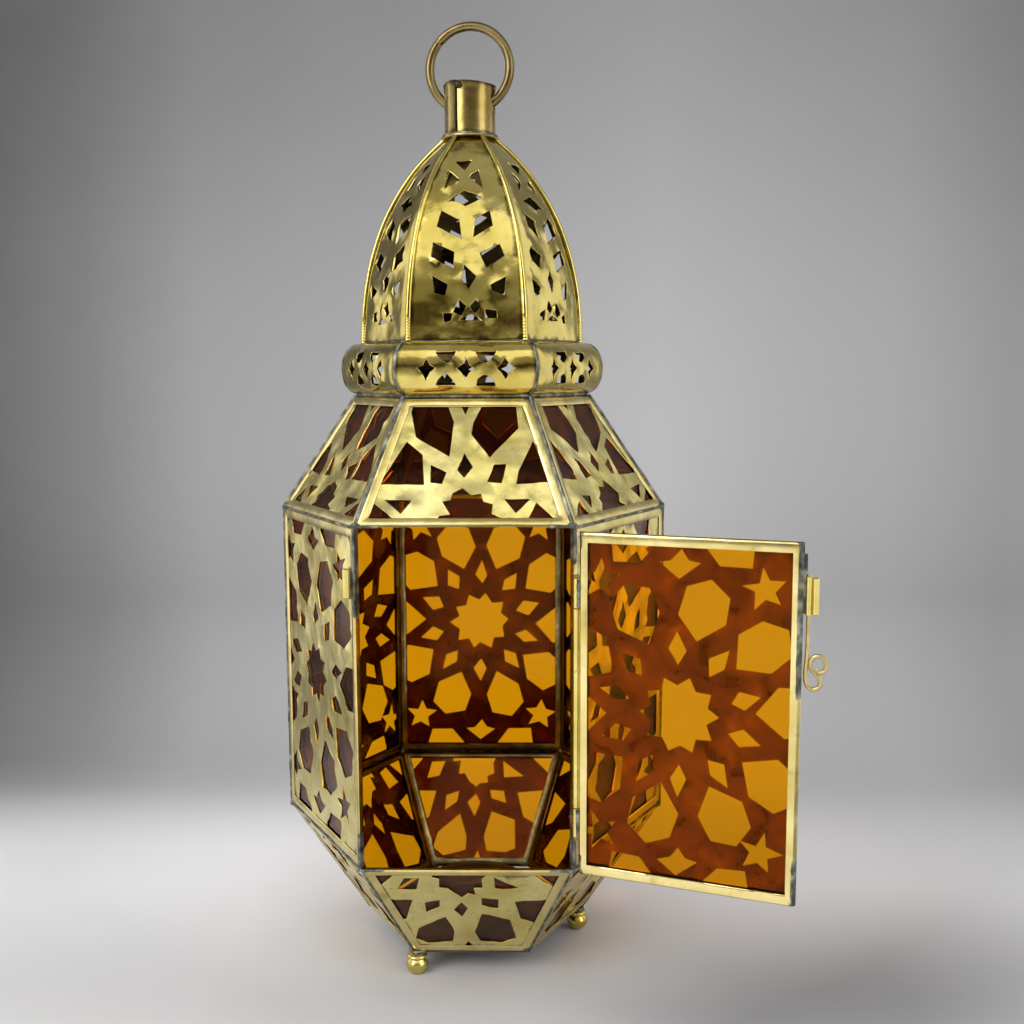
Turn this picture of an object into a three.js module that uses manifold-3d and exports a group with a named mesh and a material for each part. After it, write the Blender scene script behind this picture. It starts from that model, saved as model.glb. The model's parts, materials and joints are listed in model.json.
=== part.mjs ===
// A hexagonal Moroccan candle lantern in pierced brass and amber glass: a bullet dome with a neck
// and a carrying ring, a pillowed collar, sloping shoulders, an upright body with one hinged door,
// and a base that tapers to three small feet.
//
// Millimetres, +Z up. The origin is the centre of the base plate's underside, and the door side
// faces -Y. Sides are numbered 1 to 6 anticlockwise seen from above, and side 1 holds the door.

import * as THREE from 'three';
import { mergeVertices } from 'three/addons/utils/BufferGeometryUtils.js';
import Module from 'manifold-3d';

const wasm = await Module();
wasm.setup();

// ---- driving dimensions ----------------------------------------------------------------------

const SIDES = 6;
const TURN = 2 * Math.PI;
const FIT = 0.2; // clearance between pieces that are soldered or slid together
const BEYOND = 130; // farther out than any part of the lantern
const CORE = 8; // radius that no panel reaches
const BAND_GAP = 0.15; // from a band's end to the level where two bands meet

// Hexagon levels: corner radius and height.
const BASE = { radius: 43, z: 0 };
const WAIST = { radius: 75, z: 45.5 };
const SHOULDER = { radius: 75, z: 166.3 };
const THROAT = { radius: 45.7, z: 209.9 };

// U-channel came that holds a pane and a pierced sheet.
const CAME_WIDTH = 3.7;
const CAME_DEPTH = 2.4;
const CAME_CHEEK = 0.4;
const GROOVE_INSET = 2.2;
const PANE_INSET = GROOVE_INSET + FIT;
const SHEET = 0.4;
const GLASS = 0.9;
const SHEET_FACE = CAME_CHEEK + 0.1;
const GLASS_FACE = SHEET_FACE + SHEET + 0.1;

// Star pattern of the pierced sheets, as radii from the star's centre.
const PATTERN = {
  points: 10,
  starTip: 13.2,
  starNotch: 10,
  kite: { near: 17.3, shoulder: 21.8, far: 28.2, half: 3.1 },
  petal: { near: 25.4, lower: 33.6, upper: 42.4, far: 47, lowerHalf: 8, upperHalf: 7.3 },
  cornerStar: { x: 27.2, y: 43.5, tip: 7, notch: 3.1 },
  endStar: { y: 50.5, tip: 5.4, notch: 2.3 },
};
const CUT_MARGIN = 0.6; // how far a cut may run under the came
const SMALLEST_CUT = 3; // mm2

// Collar: half-round hexagonal band.
const COLLAR = {
  bottom: 210.2, top: 229.7, seat: 38.2, bulge: 5.97, wall: 0.9, lip: 35.6, cutFrom: 30, cutTo: 50,
};
const COLLAR_CUT = { z: 219.6, pitch: 14, diamond: [3.2, 3.9], bite: [4, 5.4, 2.1] };

// Dome: six sheet petals bent along one profile.
const DOME_FOOT = { apothem: 36.6, z: 230 };
const DOME_BULGE = { apothem: 36.6, z: 258.5 };
const DOME_SHOULDER = { apothem: 29.6, z: 286.5 };
const DOME_TOP = { apothem: 8.7, z: 305.8 };
const PETAL_SHEET = 0.7;
const PETAL_EDGE = 1.75; // gap between a petal's edge and the seam line
const PETAL_ROWS = 8;
const PETAL_CUT_FROM = 2;
const PETAL_CUT_TO = 60;
const RIB_RADIUS = 1.15;
const RIB_SINK = 0.5; // how far a rib's centre lies inside the seam line
const WASHER = 0.7;
const WASHER_LAP = 0.3; // how far the washer stands out past the neck
const WASHER_BORE = 6.4;
const FOOT_RING = { wall: 1.2, height: 2.4 };

// Neck and carrying ring.
const NECK = { radius: 9.75, wall: 0.7, bottom: 306.9, top: 325.6 };
const RING = { radius: 15.4, wire: 1.7, z: 331.95, axisZ: 320.4, yaw: -9 };
const RING_HOLE = 3.4;

// Door, hinge and latch. The door is drawn shut, then turned open about its hinge.
const DOOR = { half: 37.15, bottom: 46.6, top: 165.8, restAngle: 160 };
const MITRE_GAP = 0.35;
const HINGE = { offset: 1.5, knuckle: 1.35, bore: 0.8, pin: 0.55, web: 1, leafAngle: 26, leafReach: 2 };
const PIN_ENDS = { below: 1.5, above: 1, head: 1.15, headTop: 1.2 };
const HINGE_LEVELS = { lowest: 58.5, lower: 69, upper: 139, highest: 149.5 };
const LATCH = {
  x: -38.15, y: -66, tube: 1.15, bore: 0.85, wire: 0.65, pitch: 2.15, outerBore: 0.69, bottom: 142.1,
  top: 154.6,
};
const HOOK_TOP = 155.4;
const HOOK_DROP = 37.4;
const KEEPER = { along: 3.4, out: 1.45, tube: 1.3, bore: 0.85, bottom: 142, top: 152 };

// Base plate, feet and candle cup.
const PLATE = 0.9;
const PLATE_CLIP = 37;
const FOOT = { seat: 41.5, radius: 3.85, round: 0.6, neck: 2.7, neckHeight: 1.6, taper: 0.9, height: 7.8 };
const FOOT_SIDES = [0, 2, 4]; // corners that carry a foot, counted like the sides
const CUP = { radius: 21, wall: 0.8, height: 10, flare: 1.2 };

// ---- finishes ---------------------------------------------------------------------------------

function finish(color, roughness, metalness) {
  return new THREE.MeshStandardMaterial({ color, roughness, metalness });
}

const BRASS = finish(0xc9b25a, 0.35, 1);
const AGED_BRASS = finish(0x8a7038, 0.45, 1);
const SOLDERED_BRASS = finish(0x9d9660, 0.5, 1);
const AMBER = finish(0xb06a10, 0.08, 0);

// ---- small geometry helpers -------------------------------------------------------------------

const apothem = (level) => level.radius * Math.cos(Math.PI / SIDES);
const seamAngle = (side) => sideAngle(side) + Math.PI / SIDES;
const turnTo = (side) => new THREE.Matrix4().makeRotationZ(sideAngle(side) - sideAngle(1));
const sideAngle = (side) => -Math.PI / 2 + ((side - 1) * TURN) / SIDES;
const polar = (radius, angle) => new THREE.Vector2(radius * Math.cos(angle), radius * Math.sin(angle));
const radians = THREE.MathUtils.degToRad;

function shapeOf(outline, holes = []) {
  const shape = new THREE.Shape(outline);
  shape.holes = holes.map((hole) => new THREE.Path(hole));
  return shape;
}

// A straight prism on an outline in the XY plane, from z0 to z1.
function prism(outline, z0, z1, holes = []) {
  const geometry = new THREE.ExtrudeGeometry(shapeOf(outline, holes), {
    depth: z1 - z0,
    bevelEnabled: false,
  });
  return geometry.translate(0, 0, z0);
}

function circle(radius, count, x = 0, y = 0) {
  const points = [];
  for (let i = 0; i < count; i++) {
    points.push(polar(radius, (i * TURN) / count).add(new THREE.Vector2(x, y)));
  }
  return points;
}

function tube(radius, bore, z0, z1) {
  return prism(circle(radius, 14), z0, z1, [circle(bore, 14)]);
}

// A geometry as a manifold solid, which can be joined and cut.
function solid(geometry) {
  const bare = geometry.clone();
  bare.deleteAttribute('normal');
  bare.deleteAttribute('uv');
  const welded = mergeVertices(bare, 1e-4);
  const mesh = new wasm.Mesh({
    numProp: 3,
    vertProperties: new Float32Array(welded.attributes.position.array),
    triVerts: new Uint32Array(welded.index.array),
  });
  return new wasm.Manifold(mesh);
}

function geometryOf(body) {
  const mesh = body.getMesh();
  const geometry = new THREE.BufferGeometry();
  geometry.setAttribute('position', new THREE.BufferAttribute(mesh.vertProperties, 3));
  geometry.setIndex(new THREE.BufferAttribute(mesh.triVerts, 1));
  geometry.computeVertexNormals();
  return geometry;
}

function join(bodies) {
  return bodies.reduce((whole, body) => whole.add(body));
}

function pierce(body, cutters) {
  return cutters.reduce((rest, cutter) => rest.subtract(cutter), body);
}

function placed(body, matrix) {
  return solid(geometryOf(body).applyMatrix4(matrix));
}

function mesh(name, geometry, material) {
  const piece = new THREE.Mesh(geometry, material);
  piece.name = name;
  return piece;
}

const signedArea = (points) => THREE.ShapeUtils.area(points);

// Where the line through a and b meets the line through c and d.
function crossing(a, b, c, d) {
  const along = b.clone().sub(a);
  const other = d.clone().sub(c);
  const share = c.clone().sub(a).cross(other) / along.cross(other);
  return a.clone().addScaledVector(along, share);
}

// A convex anticlockwise outline with every edge moved inwards.
function inset(outline, distance) {
  const edges = outline.map((a, i) => {
    const b = outline[(i + 1) % outline.length];
    const along = b.clone().sub(a).normalize();
    const inward = new THREE.Vector2(-along.y, along.x).multiplyScalar(distance);
    return [a.clone().add(inward), b.clone().add(inward)];
  });
  return edges.map((edge, i) => crossing(...edges[(i + edges.length - 1) % edges.length], ...edge));
}

// The part of an outline that lies inside a convex anticlockwise window.
function clip(outline, window) {
  let kept = outline;
  window.forEach((a, i) => {
    const b = window[(i + 1) % window.length];
    const along = b.clone().sub(a);
    const inside = (point) => along.cross(point.clone().sub(a)) >= 0;
    const next = [];
    kept.forEach((point, j) => {
      const before = kept[(j + kept.length - 1) % kept.length];
      if (inside(point) !== inside(before)) {
        next.push(crossing(a, b, before, point));
      }
      if (inside(point)) {
        next.push(point);
      }
    });
    kept = next;
  });
  return kept;
}

// ---- star pattern -----------------------------------------------------------------------------

function star(points, tip, notch, x, y, turn = 0) {
  const outline = [];
  for (let i = 0; i < 2 * points; i++) {
    const angle = Math.PI / 2 + turn + (i * Math.PI) / points;
    outline.push(polar(i % 2 ? notch : tip, angle).add(new THREE.Vector2(x, y)));
  }
  return outline;
}

// An outline given as (distance along a ray, distance across it), laid on the ray at an angle.
function onRay(pairs, angle, centreY) {
  const along = polar(1, angle);
  const across = new THREE.Vector2(-along.y, along.x);
  return pairs.map(([far, side]) => {
    const point = along.clone().multiplyScalar(far).addScaledVector(across, side);
    return point.add(new THREE.Vector2(0, centreY));
  });
}

// All cuts of one sheet. The pattern's centre is at (0, centreY).
function starPattern(window, centreY) {
  const { points, starTip, starNotch, kite, petal, cornerStar, endStar } = PATTERN;
  const step = TURN / points;
  const cuts = [star(points, starTip, starNotch, 0, centreY, step / 2)];
  for (let i = 0; i < points; i++) {
    const kiteAngle = Math.PI / 2 + i * step;
    const kiteRing = [[kite.near, 0], [kite.shoulder, -kite.half], [kite.far, 0], [kite.shoulder, kite.half]];
    cuts.push(onRay(kiteRing, kiteAngle, centreY));
    const petalRing = [
      [petal.near, 0],
      [petal.lower, -petal.lowerHalf],
      [petal.upper, -petal.upperHalf],
      [petal.far, 0],
      [petal.upper, petal.upperHalf],
      [petal.lower, petal.lowerHalf],
    ];
    cuts.push(onRay(petalRing, kiteAngle + step / 2, centreY));
  }
  for (const up of [-1, 1]) {
    cuts.push(star(4, endStar.tip, endStar.notch, 0, centreY + up * endStar.y));
    for (const right of [-1, 1]) {
      const { x, y, tip, notch } = cornerStar;
      cuts.push(star(5, tip, notch, right * x, centreY + up * y));
    }
  }
  return cuts.map((cut) => clip(cut, window)).filter((cut) => {
    return cut.length > 2 && Math.abs(signedArea(cut)) > SMALLEST_CUT;
  });
}

// ---- flat framed panels -----------------------------------------------------------------------

// One side between two hexagon levels. The group's frame has x along the side, y up the slope and
// z outwards, with its origin in the middle of the lower edge.
function sidePlane(side, lower, upper) {
  const outward = polar(1, sideAngle(side));
  const along = new THREE.Vector3(-outward.y, outward.x, 0);
  const foot = new THREE.Vector3(outward.x * apothem(lower), outward.y * apothem(lower), lower.z);
  const head = new THREE.Vector3(outward.x * apothem(upper), outward.y * apothem(upper), upper.z);
  const up = head.clone().sub(foot).normalize();
  const normal = along.clone().cross(up);
  const matrix = new THREE.Matrix4().makeBasis(along, up, normal).setPosition(foot);
  const group = new THREE.Group();
  matrix.decompose(group.position, group.quaternion, group.scale);
  group.updateMatrix();
  return group;
}

function sideOutline(lower, upper) {
  const height = Math.hypot(apothem(upper) - apothem(lower), upper.z - lower.z);
  const low = lower.radius / 2;
  const high = upper.radius / 2;
  return [[-low, 0], [low, 0], [high, height], [-high, height]].map(([x, y]) => new THREE.Vector2(x, y));
}

// U-channel on all four edges of a panel, with the groove that its glass and sheet sit in.
function came(outline) {
  const bars = solid(prism(outline, -CAME_DEPTH, 0, [inset(outline, CAME_WIDTH)]));
  const groove = solid(prism(inset(outline, GROOVE_INSET), CAME_CHEEK - CAME_DEPTH, -CAME_CHEEK));
  return bars.subtract(groove);
}

function glassPane(outline) {
  return prism(inset(outline, PANE_INSET), -GLASS_FACE - GLASS, -GLASS_FACE);
}

function piercedSheet(outline, centreY) {
  const back = -SHEET_FACE - SHEET;
  const sheet = solid(prism(inset(outline, PANE_INSET), back, -SHEET_FACE));
  const window = inset(outline, CAME_WIDTH - CUT_MARGIN);
  const cutters = starPattern(window, centreY).map((cut) => solid(prism(cut, back - 1, 0)));
  return geometryOf(pierce(sheet, cutters));
}

// A tall wedge of one side between its two corner planes. A positive gap keeps clear of a plane,
// and a negative one laps over it.
function wedge(side, startGap, endGap) {
  const near = CORE;
  const far = BEYOND;
  const half = Math.PI / SIDES;
  const start = polar(1, sideAngle(side) - half);
  const end = polar(1, sideAngle(side) + half);
  const startShift = new THREE.Vector2(-start.y, start.x).multiplyScalar(startGap);
  const endShift = new THREE.Vector2(end.y, -end.x).multiplyScalar(endGap);
  const outline = [
    start.clone().multiplyScalar(near).add(startShift),
    start.clone().multiplyScalar(far).add(startShift),
    end.clone().multiplyScalar(far).add(endShift),
    end.clone().multiplyScalar(near).add(endShift),
  ];
  return solid(prism(outline, -BEYOND, 3 * BEYOND));
}

const MITRE_LAP = -0.03;

// The soldered frame of a band of panels, cut flat at its two levels.
function frameBand(sides, lower, upper, zLow, zHigh) {
  const outline = sideOutline(lower, upper);
  const bars = sides.map((side) => {
    const group = sidePlane(side, lower, upper);
    const startGap = sides.includes(side === 1 ? SIDES : side - 1) ? MITRE_LAP : MITRE_GAP;
    const endGap = sides.includes((side % SIDES) + 1) ? MITRE_LAP : MITRE_GAP;
    return placed(came(outline), group.matrix).intersect(wedge(side, startGap, endGap));
  });
  const slice = solid(prism(circle(BEYOND, 8), zLow, zHigh));
  return join(bars).intersect(slice);
}

function panels(band, sides, lower, upper, centreY) {
  const outline = sideOutline(lower, upper);
  return sides.map((side) => {
    const group = sidePlane(side, lower, upper);
    group.add(mesh(`${band}_glass_${side}`, glassPane(outline), AMBER));
    group.add(mesh(`${band}_fretwork_${side}`, piercedSheet(outline, centreY), BRASS));
    return group;
  });
}

// ---- hinge ------------------------------------------------------------------------------------

const HINGE_AXIS = polar(SHOULDER.radius + HINGE.offset, seamAngle(1));

// A knuckle on the hinge axis with a short leaf that reaches into a came. The leaf leaves the axis
// on one side of the corner's radial plane: +1 for the fixed frame, -1 for the door.
function knuckle(z0, z1, hand) {
  const inward = seamAngle(1) + Math.PI;
  const leafAngle = inward - hand * radians(HINGE.leafAngle);
  const along = polar(1, leafAngle);
  const across = new THREE.Vector2(-along.y, along.x).multiplyScalar(HINGE.web / 2);
  const end = HINGE_AXIS.clone().addScaledVector(along, HINGE.offset + HINGE.leafReach);
  const leaf = [
    HINGE_AXIS.clone().sub(across),
    end.clone().sub(across),
    end.clone().add(across),
    HINGE_AXIS.clone().add(across),
  ];
  if (signedArea(leaf) < 0) {
    leaf.reverse();
  }
  const barrel = solid(prism(circle(HINGE.knuckle, 14, HINGE_AXIS.x, HINGE_AXIS.y), z0, z1));
  const bore = solid(prism(circle(HINGE.bore, 10, HINGE_AXIS.x, HINGE_AXIS.y), z0 - 1, z1 + 1));
  return barrel.add(solid(prism(leaf, z0, z1))).subtract(bore);
}

function hingePin() {
  const { lowest, highest } = HINGE_LEVELS;
  const { below, above, head: headRadius, headTop } = PIN_ENDS;
  const stem = solid(prism(circle(HINGE.pin, 10), lowest - below, highest + above));
  const head = solid(prism(circle(headRadius, 10), highest + FIT, highest + headTop));
  const pin = mesh('hinge_pin', geometryOf(stem.add(head)), AGED_BRASS);
  pin.position.set(HINGE_AXIS.x, HINGE_AXIS.y, 0);
  return pin;
}

// ---- body and door ----------------------------------------------------------------------------

const ALL_SIDES = [1, 2, 3, 4, 5, 6];
const FIXED_SIDES = [2, 3, 4, 5, 6];
const BODY_CENTRE = (SHOULDER.z - WAIST.z) / 2;

function bodyFrame() {
  const bars = frameBand(FIXED_SIDES, WAIST, SHOULDER, WAIST.z + BAND_GAP, SHOULDER.z - BAND_GAP);
  const { lower, upper } = HINGE_LEVELS;
  return mesh('body_frame', geometryOf(bars.add(knuckle(lower, upper, 1))), SOLDERED_BRASS);
}

function doorOutline() {
  const { half, bottom, top } = DOOR;
  const corners = [[-half, bottom], [half, bottom], [half, top], [-half, top]];
  return corners.map(([x, z]) => new THREE.Vector2(x, z - WAIST.z));
}

// The shut door, its origin on the hinge axis.
function door() {
  const outline = doorOutline();
  const plane = sidePlane(1, WAIST, SHOULDER);
  const bars = placed(came(outline), plane.matrix).intersect(wedge(1, MITRE_GAP, MITRE_GAP));
  const { lowest, lower, upper, highest } = HINGE_LEVELS;
  const low = knuckle(lowest, lower - FIT, -1);
  const high = knuckle(upper + FIT, highest, -1);
  const shut = new THREE.Group();
  shut.position.set(-HINGE_AXIS.x, -HINGE_AXIS.y, 0);
  shut.add(mesh('door_frame', geometryOf(join([bars, low, high])), SOLDERED_BRASS));
  plane.add(mesh('door_glass', glassPane(outline), AMBER));
  plane.add(mesh('door_fretwork', piercedSheet(outline, BODY_CENTRE), BRASS));
  shut.add(plane);
  shut.add(latchBarrel());
  shut.add(latchHook());
  const hung = new THREE.Group();
  hung.position.set(HINGE_AXIS.x, HINGE_AXIS.y, 0);
  hung.rotation.z = radians(DOOR.restAngle);
  hung.add(shut);
  return hung;
}

// ---- latch ------------------------------------------------------------------------------------

// Two tubes side by side on the door's free edge. The hook's wire turns in the inner one.
function latchBarrel() {
  const { tube: radius, bore, outerBore: outerBoreRadius, pitch, bottom, top } = LATCH;
  const inner = solid(prism(circle(radius, 14), bottom, top));
  const outer = solid(prism(circle(radius, 14, -pitch), bottom, top));
  const innerBore = solid(prism(circle(bore, 12), bottom - 1, top + 1));
  const outerBore = solid(prism(circle(outerBoreRadius, 10, -pitch), bottom - 1, top + 1));
  const body = inner.add(outer).subtract(innerBore).subtract(outerBore);
  const barrel = mesh('latch_barrel', geometryOf(body), BRASS);
  barrel.position.set(LATCH.x, LATCH.y, 0);
  return barrel;
}

// Wire that hangs below the barrel and ends in an S scroll.
function latchHook() {
  const foot = HOOK_TOP - HOOK_DROP;
  const scroll = [
    [0, HOOK_DROP], [0, HOOK_DROP / 2], [0, 13], [-0.4, 6.6], [0.4, 1.2], [2.1, 0], [4.4, 1.8],
    [3.8, 4.3], [1.2, 7.7], [2.2, 11.1], [5.5, 10.3], [5.9, 8], [4.2, 7],
  ];
  const path = new THREE.CatmullRomCurve3(scroll.map(([out, up]) => new THREE.Vector3(-out, 0, foot + up)));
  const geometry = new THREE.ExtrudeGeometry(shapeOf(circle(LATCH.wire, 6)), {
    steps: 32,
    extrudePath: path,
    bevelEnabled: false,
  });
  const hook = mesh('latch_hook', geometry, BRASS);
  hook.position.set(LATCH.x, LATCH.y, 0);
  return hook;
}

// Short tube on the left front panel's came, beside the shut door's edge.
function latchKeeper() {
  const corner = polar(SHOULDER.radius, sideAngle(1) - Math.PI / SIDES);
  const outward = polar(1, sideAngle(SIDES));
  const along = new THREE.Vector2(outward.y, -outward.x);
  const seat = corner.addScaledVector(along, KEEPER.along).addScaledVector(outward, KEEPER.out);
  const keeper = mesh('latch_keeper', tube(KEEPER.tube, KEEPER.bore, KEEPER.bottom, KEEPER.top), BRASS);
  keeper.position.set(seat.x, seat.y, 0);
  return keeper;
}

// ---- collar -----------------------------------------------------------------------------------

function collarProfile() {
  const { bottom, top, seat, bulge, wall, lip } = COLLAR;
  const middle = (bottom + top) / 2;
  const half = (top - bottom) / 2;
  const steps = 6;
  const arc = (out, rise, i) => {
    const angle = -Math.PI / 2 + (i * Math.PI) / steps;
    return new THREE.Vector2(seat + out * Math.cos(angle), middle + rise * Math.sin(angle));
  };
  const profile = [];
  for (let i = 0; i <= steps; i++) {
    profile.push(arc(bulge, half, i));
  }
  profile.push(new THREE.Vector2(lip, top), new THREE.Vector2(lip, top - wall));
  for (let i = steps; i >= 0; i--) {
    profile.push(arc(bulge - wall, half - wall, i).add(new THREE.Vector2(-wall / 2, 0)));
  }
  profile.push(new THREE.Vector2(seat - wall, bottom));
  return profile;
}

// Holes in one side of the collar: a row of diamonds with a bite above and below each gap.
function collarCuts() {
  const { z, pitch, diamond, bite } = COLLAR_CUT;
  const [wide, high] = diamond;
  const [biteHalf, biteFar, biteNear] = bite;
  const cuts = [-pitch, 0, pitch].map((x) => [[x - wide, z], [x, z - high], [x + wide, z], [x, z + high]]);
  for (const x of [-pitch / 2, pitch / 2]) {
    cuts.push([[x, z + biteNear], [x + biteHalf, z + biteFar], [x - biteHalf, z + biteFar]]);
    cuts.push([[x, z - biteNear], [x - biteHalf, z - biteFar], [x + biteHalf, z - biteFar]]);
  }
  return cuts.map((cut) => cut.map(([x, y]) => new THREE.Vector2(x, y)));
}

// Prisms on outlines in the (x, z) plane, reaching outwards to -Y.
function frontCutters(outlines, near, far) {
  return outlines.map((outline) => solid(prism(outline, near, far).rotateX(Math.PI / 2)));
}

function collarBand() {
  const profile = collarProfile().map((point) => point.divide(new THREE.Vector2(Math.cos(Math.PI / SIDES), 1)));
  profile.push(profile[0].clone());
  const band = new THREE.LatheGeometry(profile, SIDES, Math.PI / SIDES).rotateX(Math.PI / 2);
  const cutters = frontCutters(collarCuts(), COLLAR.cutFrom, COLLAR.cutTo);
  const allCutters = ALL_SIDES.flatMap((side) => cutters.map((cutter) => placed(cutter, turnTo(side))));
  return mesh('collar_band', geometryOf(pierce(solid(band), allCutters)), BRASS);
}

// ---- dome -------------------------------------------------------------------------------------

// Profile of a petal's middle line as (apothem, z), from the foot up.
function domeProfile() {
  const controls = [DOME_FOOT, DOME_BULGE, DOME_SHOULDER, DOME_TOP];
  return new THREE.CubicBezierCurve(...controls.map(({ apothem: a, z }) => new THREE.Vector2(a, z)));
}

const DOME = domeProfile();

// Half of the petal's holes, as (sideways, distance up the sheet); the other half is mirrored.
const PETAL_SIDE_CUTS = [
  [[2.2, 60.6], [7, 56], [6, 64.5]],
  [[2.4, 36.8], [9.6, 41.5], [8.2, 47.6], [3, 44.2]],
  [[5.4, 25.6], [12.8, 29.8], [11.8, 34.6], [4.4, 31]],
  [[7.9, 16.2], [12.8, 16.2], [13.4, 22.4], [7.9, 19.6]],
];
const PETAL_MIDDLE_CUTS = [
  [[0, 64.8], [3, 69.2], [-3, 69.2]],
  [[-4.6, 52.6], [4.6, 52.6], [0, 56.4]],
  [[0, 17.8], [2.8, 22], [0, 26.8], [-2.8, 22]],
];
const ROSETTE = { y: 6.6, near: 2.8, shoulder: 5.6, far: 9.4, half: 1.8, rays: [10, 60, 120, 170] };

function petalCuts() {
  const mirrored = PETAL_SIDE_CUTS.map((cut) => cut.map(([x, s]) => [-x, s]).reverse());
  const drawn = [...PETAL_SIDE_CUTS, ...mirrored, ...PETAL_MIDDLE_CUTS];
  const { y, near, shoulder, far, half, rays } = ROSETTE;
  const kite = [[near, 0], [shoulder, -half], [far, 0], [shoulder, half]];
  for (const ray of rays) {
    drawn.push(onRay(kite, radians(ray), y).map((point) => [point.x, point.y]));
  }
  const length = DOME.getLength();
  return drawn.map((cut) => cut.map(([x, s]) => new THREE.Vector2(x, DOME.getPointAt(s / length).y)));
}

// One petal as a bent sheet whose outer face is on the dome's profile and faces -Y.
function petalSheet() {
  const positions = [];
  for (let row = 0; row <= PETAL_ROWS; row++) {
    const share = row / PETAL_ROWS;
    const outer = DOME.getPointAt(share);
    const slope = DOME.getTangentAt(share);
    const inner = outer.clone().add(new THREE.Vector2(-slope.y, slope.x).multiplyScalar(PETAL_SHEET));
    const half = outer.x * Math.tan(Math.PI / SIDES) - PETAL_EDGE;
    positions.push(-half, -outer.x, outer.y, half, -outer.x, outer.y);
    positions.push(half, -inner.x, inner.y, -half, -inner.x, inner.y);
  }
  const index = [0, 3, 2, 0, 2, 1];
  for (let row = 0; row < PETAL_ROWS; row++) {
    for (let corner = 0; corner < 4; corner++) {
      const a = 4 * row + corner;
      const b = 4 * row + ((corner + 1) % 4);
      index.push(a, b, b + 4, a, b + 4, a + 4);
    }
  }
  const top = 4 * PETAL_ROWS;
  index.push(top, top + 1, top + 2, top, top + 2, top + 3);
  const geometry = new THREE.BufferGeometry();
  geometry.setAttribute('position', new THREE.Float32BufferAttribute(positions, 3));
  geometry.setIndex(index);
  return solid(geometry);
}

function domePetals() {
  const geometry = geometryOf(pierce(petalSheet(), frontCutters(petalCuts(), PETAL_CUT_FROM, PETAL_CUT_TO)));
  return ALL_SIDES.map((side) => {
    const petal = mesh(`dome_petal_${side}`, geometry, BRASS);
    petal.rotation.z = sideAngle(side) - sideAngle(1);
    return petal;
  });
}

// Six ribs over the seams, a hexagonal foot ring inside the petals and a washer on top of them.
function domeRibs() {
  const seam = DOME.getSpacedPoints(8).map((point) => {
    return new THREE.Vector3(point.x / Math.cos(Math.PI / SIDES) - RIB_SINK, 0, point.y);
  });
  const washerZ = DOME_TOP.z + FIT;
  seam.push(new THREE.Vector3(seam.at(-1).x - RIB_SINK, 0, washerZ + WASHER / 2));
  const rib = new THREE.ExtrudeGeometry(shapeOf(circle(RIB_RADIUS, 6)), {
    steps: 9,
    extrudePath: new THREE.CatmullRomCurve3(seam),
    bevelEnabled: false,
  });
  const bodies = ALL_SIDES.map((number) => solid(rib.clone().rotateZ(seamAngle(number))));
  const footRing = (inwards) => {
    const radius = (DOME_FOOT.apothem - inwards) / Math.cos(Math.PI / SIDES);
    return ALL_SIDES.map((number) => polar(radius, seamAngle(number)));
  };
  const { z } = DOME_FOOT;
  const ringGap = PETAL_SHEET + FIT;
  bodies.push(solid(prism(footRing(ringGap), z, z + FOOT_RING.height, [footRing(ringGap + FOOT_RING.wall)])));
  bodies.push(solid(tube(NECK.radius + WASHER_LAP, WASHER_BORE, washerZ, washerZ + WASHER)));
  const kept = solid(prism(circle(BEYOND, 8), z, washerZ + WASHER));
  return mesh('dome_ribs', geometryOf(join(bodies).intersect(kept)), BRASS);
}

// ---- neck and ring ----------------------------------------------------------------------------

function neckTube() {
  const { radius, wall, bottom, top } = NECK;
  const body = solid(prism(circle(radius, 24), bottom, top, [circle(radius - wall, 24)]));
  const bore = new THREE.CylinderGeometry(RING_HOLE, RING_HOLE, 3 * radius, 12);
  bore.rotateZ(Math.PI / 2);
  bore.rotateZ(radians(RING.yaw));
  bore.translate(0, 0, RING.axisZ);
  return mesh('neck_tube', geometryOf(body.subtract(solid(bore))), AGED_BRASS);
}

function hangRing() {
  const geometry = new THREE.TorusGeometry(RING.radius, RING.wire, 8, 24);
  geometry.rotateX(Math.PI / 2);
  const ring = mesh('hang_ring', geometry, AGED_BRASS);
  ring.position.z = RING.z;
  ring.rotation.z = radians(RING.yaw);
  return ring;
}

// ---- base, feet and cup -----------------------------------------------------------------------

const cornerAngle = (number) => sideAngle(1) - Math.PI / SIDES + (number * TURN) / SIDES;

// Hexagonal floor sheet with the corners over the feet cut off.
function basePlate() {
  const outline = [];
  for (let corner = 0; corner < SIDES; corner++) {
    const angle = cornerAngle(corner);
    const reach = BASE.radius - 1;
    if (FOOT_SIDES.includes(corner)) {
      const half = (reach - PLATE_CLIP) * Math.tan(Math.PI / 3);
      const along = polar(PLATE_CLIP, angle);
      const across = polar(half, angle + Math.PI / 2);
      outline.push(along.clone().sub(across), along.clone().add(across));
    } else {
      outline.push(polar(reach, angle));
    }
  }
  return mesh('base_plate', prism(outline, 0, PLATE), AGED_BRASS);
}

function feet() {
  const { seat, radius, round, neck, neckHeight, taper, height } = FOOT;
  const profile = [
    [0, 0], [radius - round, 0], [radius, round], [radius, height - neckHeight - taper],
    [neck, height - neckHeight], [neck, height + PLATE], [0, height + PLATE],
  ].map(([x, y]) => new THREE.Vector2(x, y));
  return FOOT_SIDES.map((corner, i) => {
    const geometry = new THREE.LatheGeometry(profile, 16).rotateX(Math.PI / 2);
    const foot = mesh(`foot_${i + 1}`, geometry, BRASS);
    const place = polar(seat, cornerAngle(corner));
    foot.position.set(place.x, place.y, -height);
    return foot;
  });
}

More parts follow.
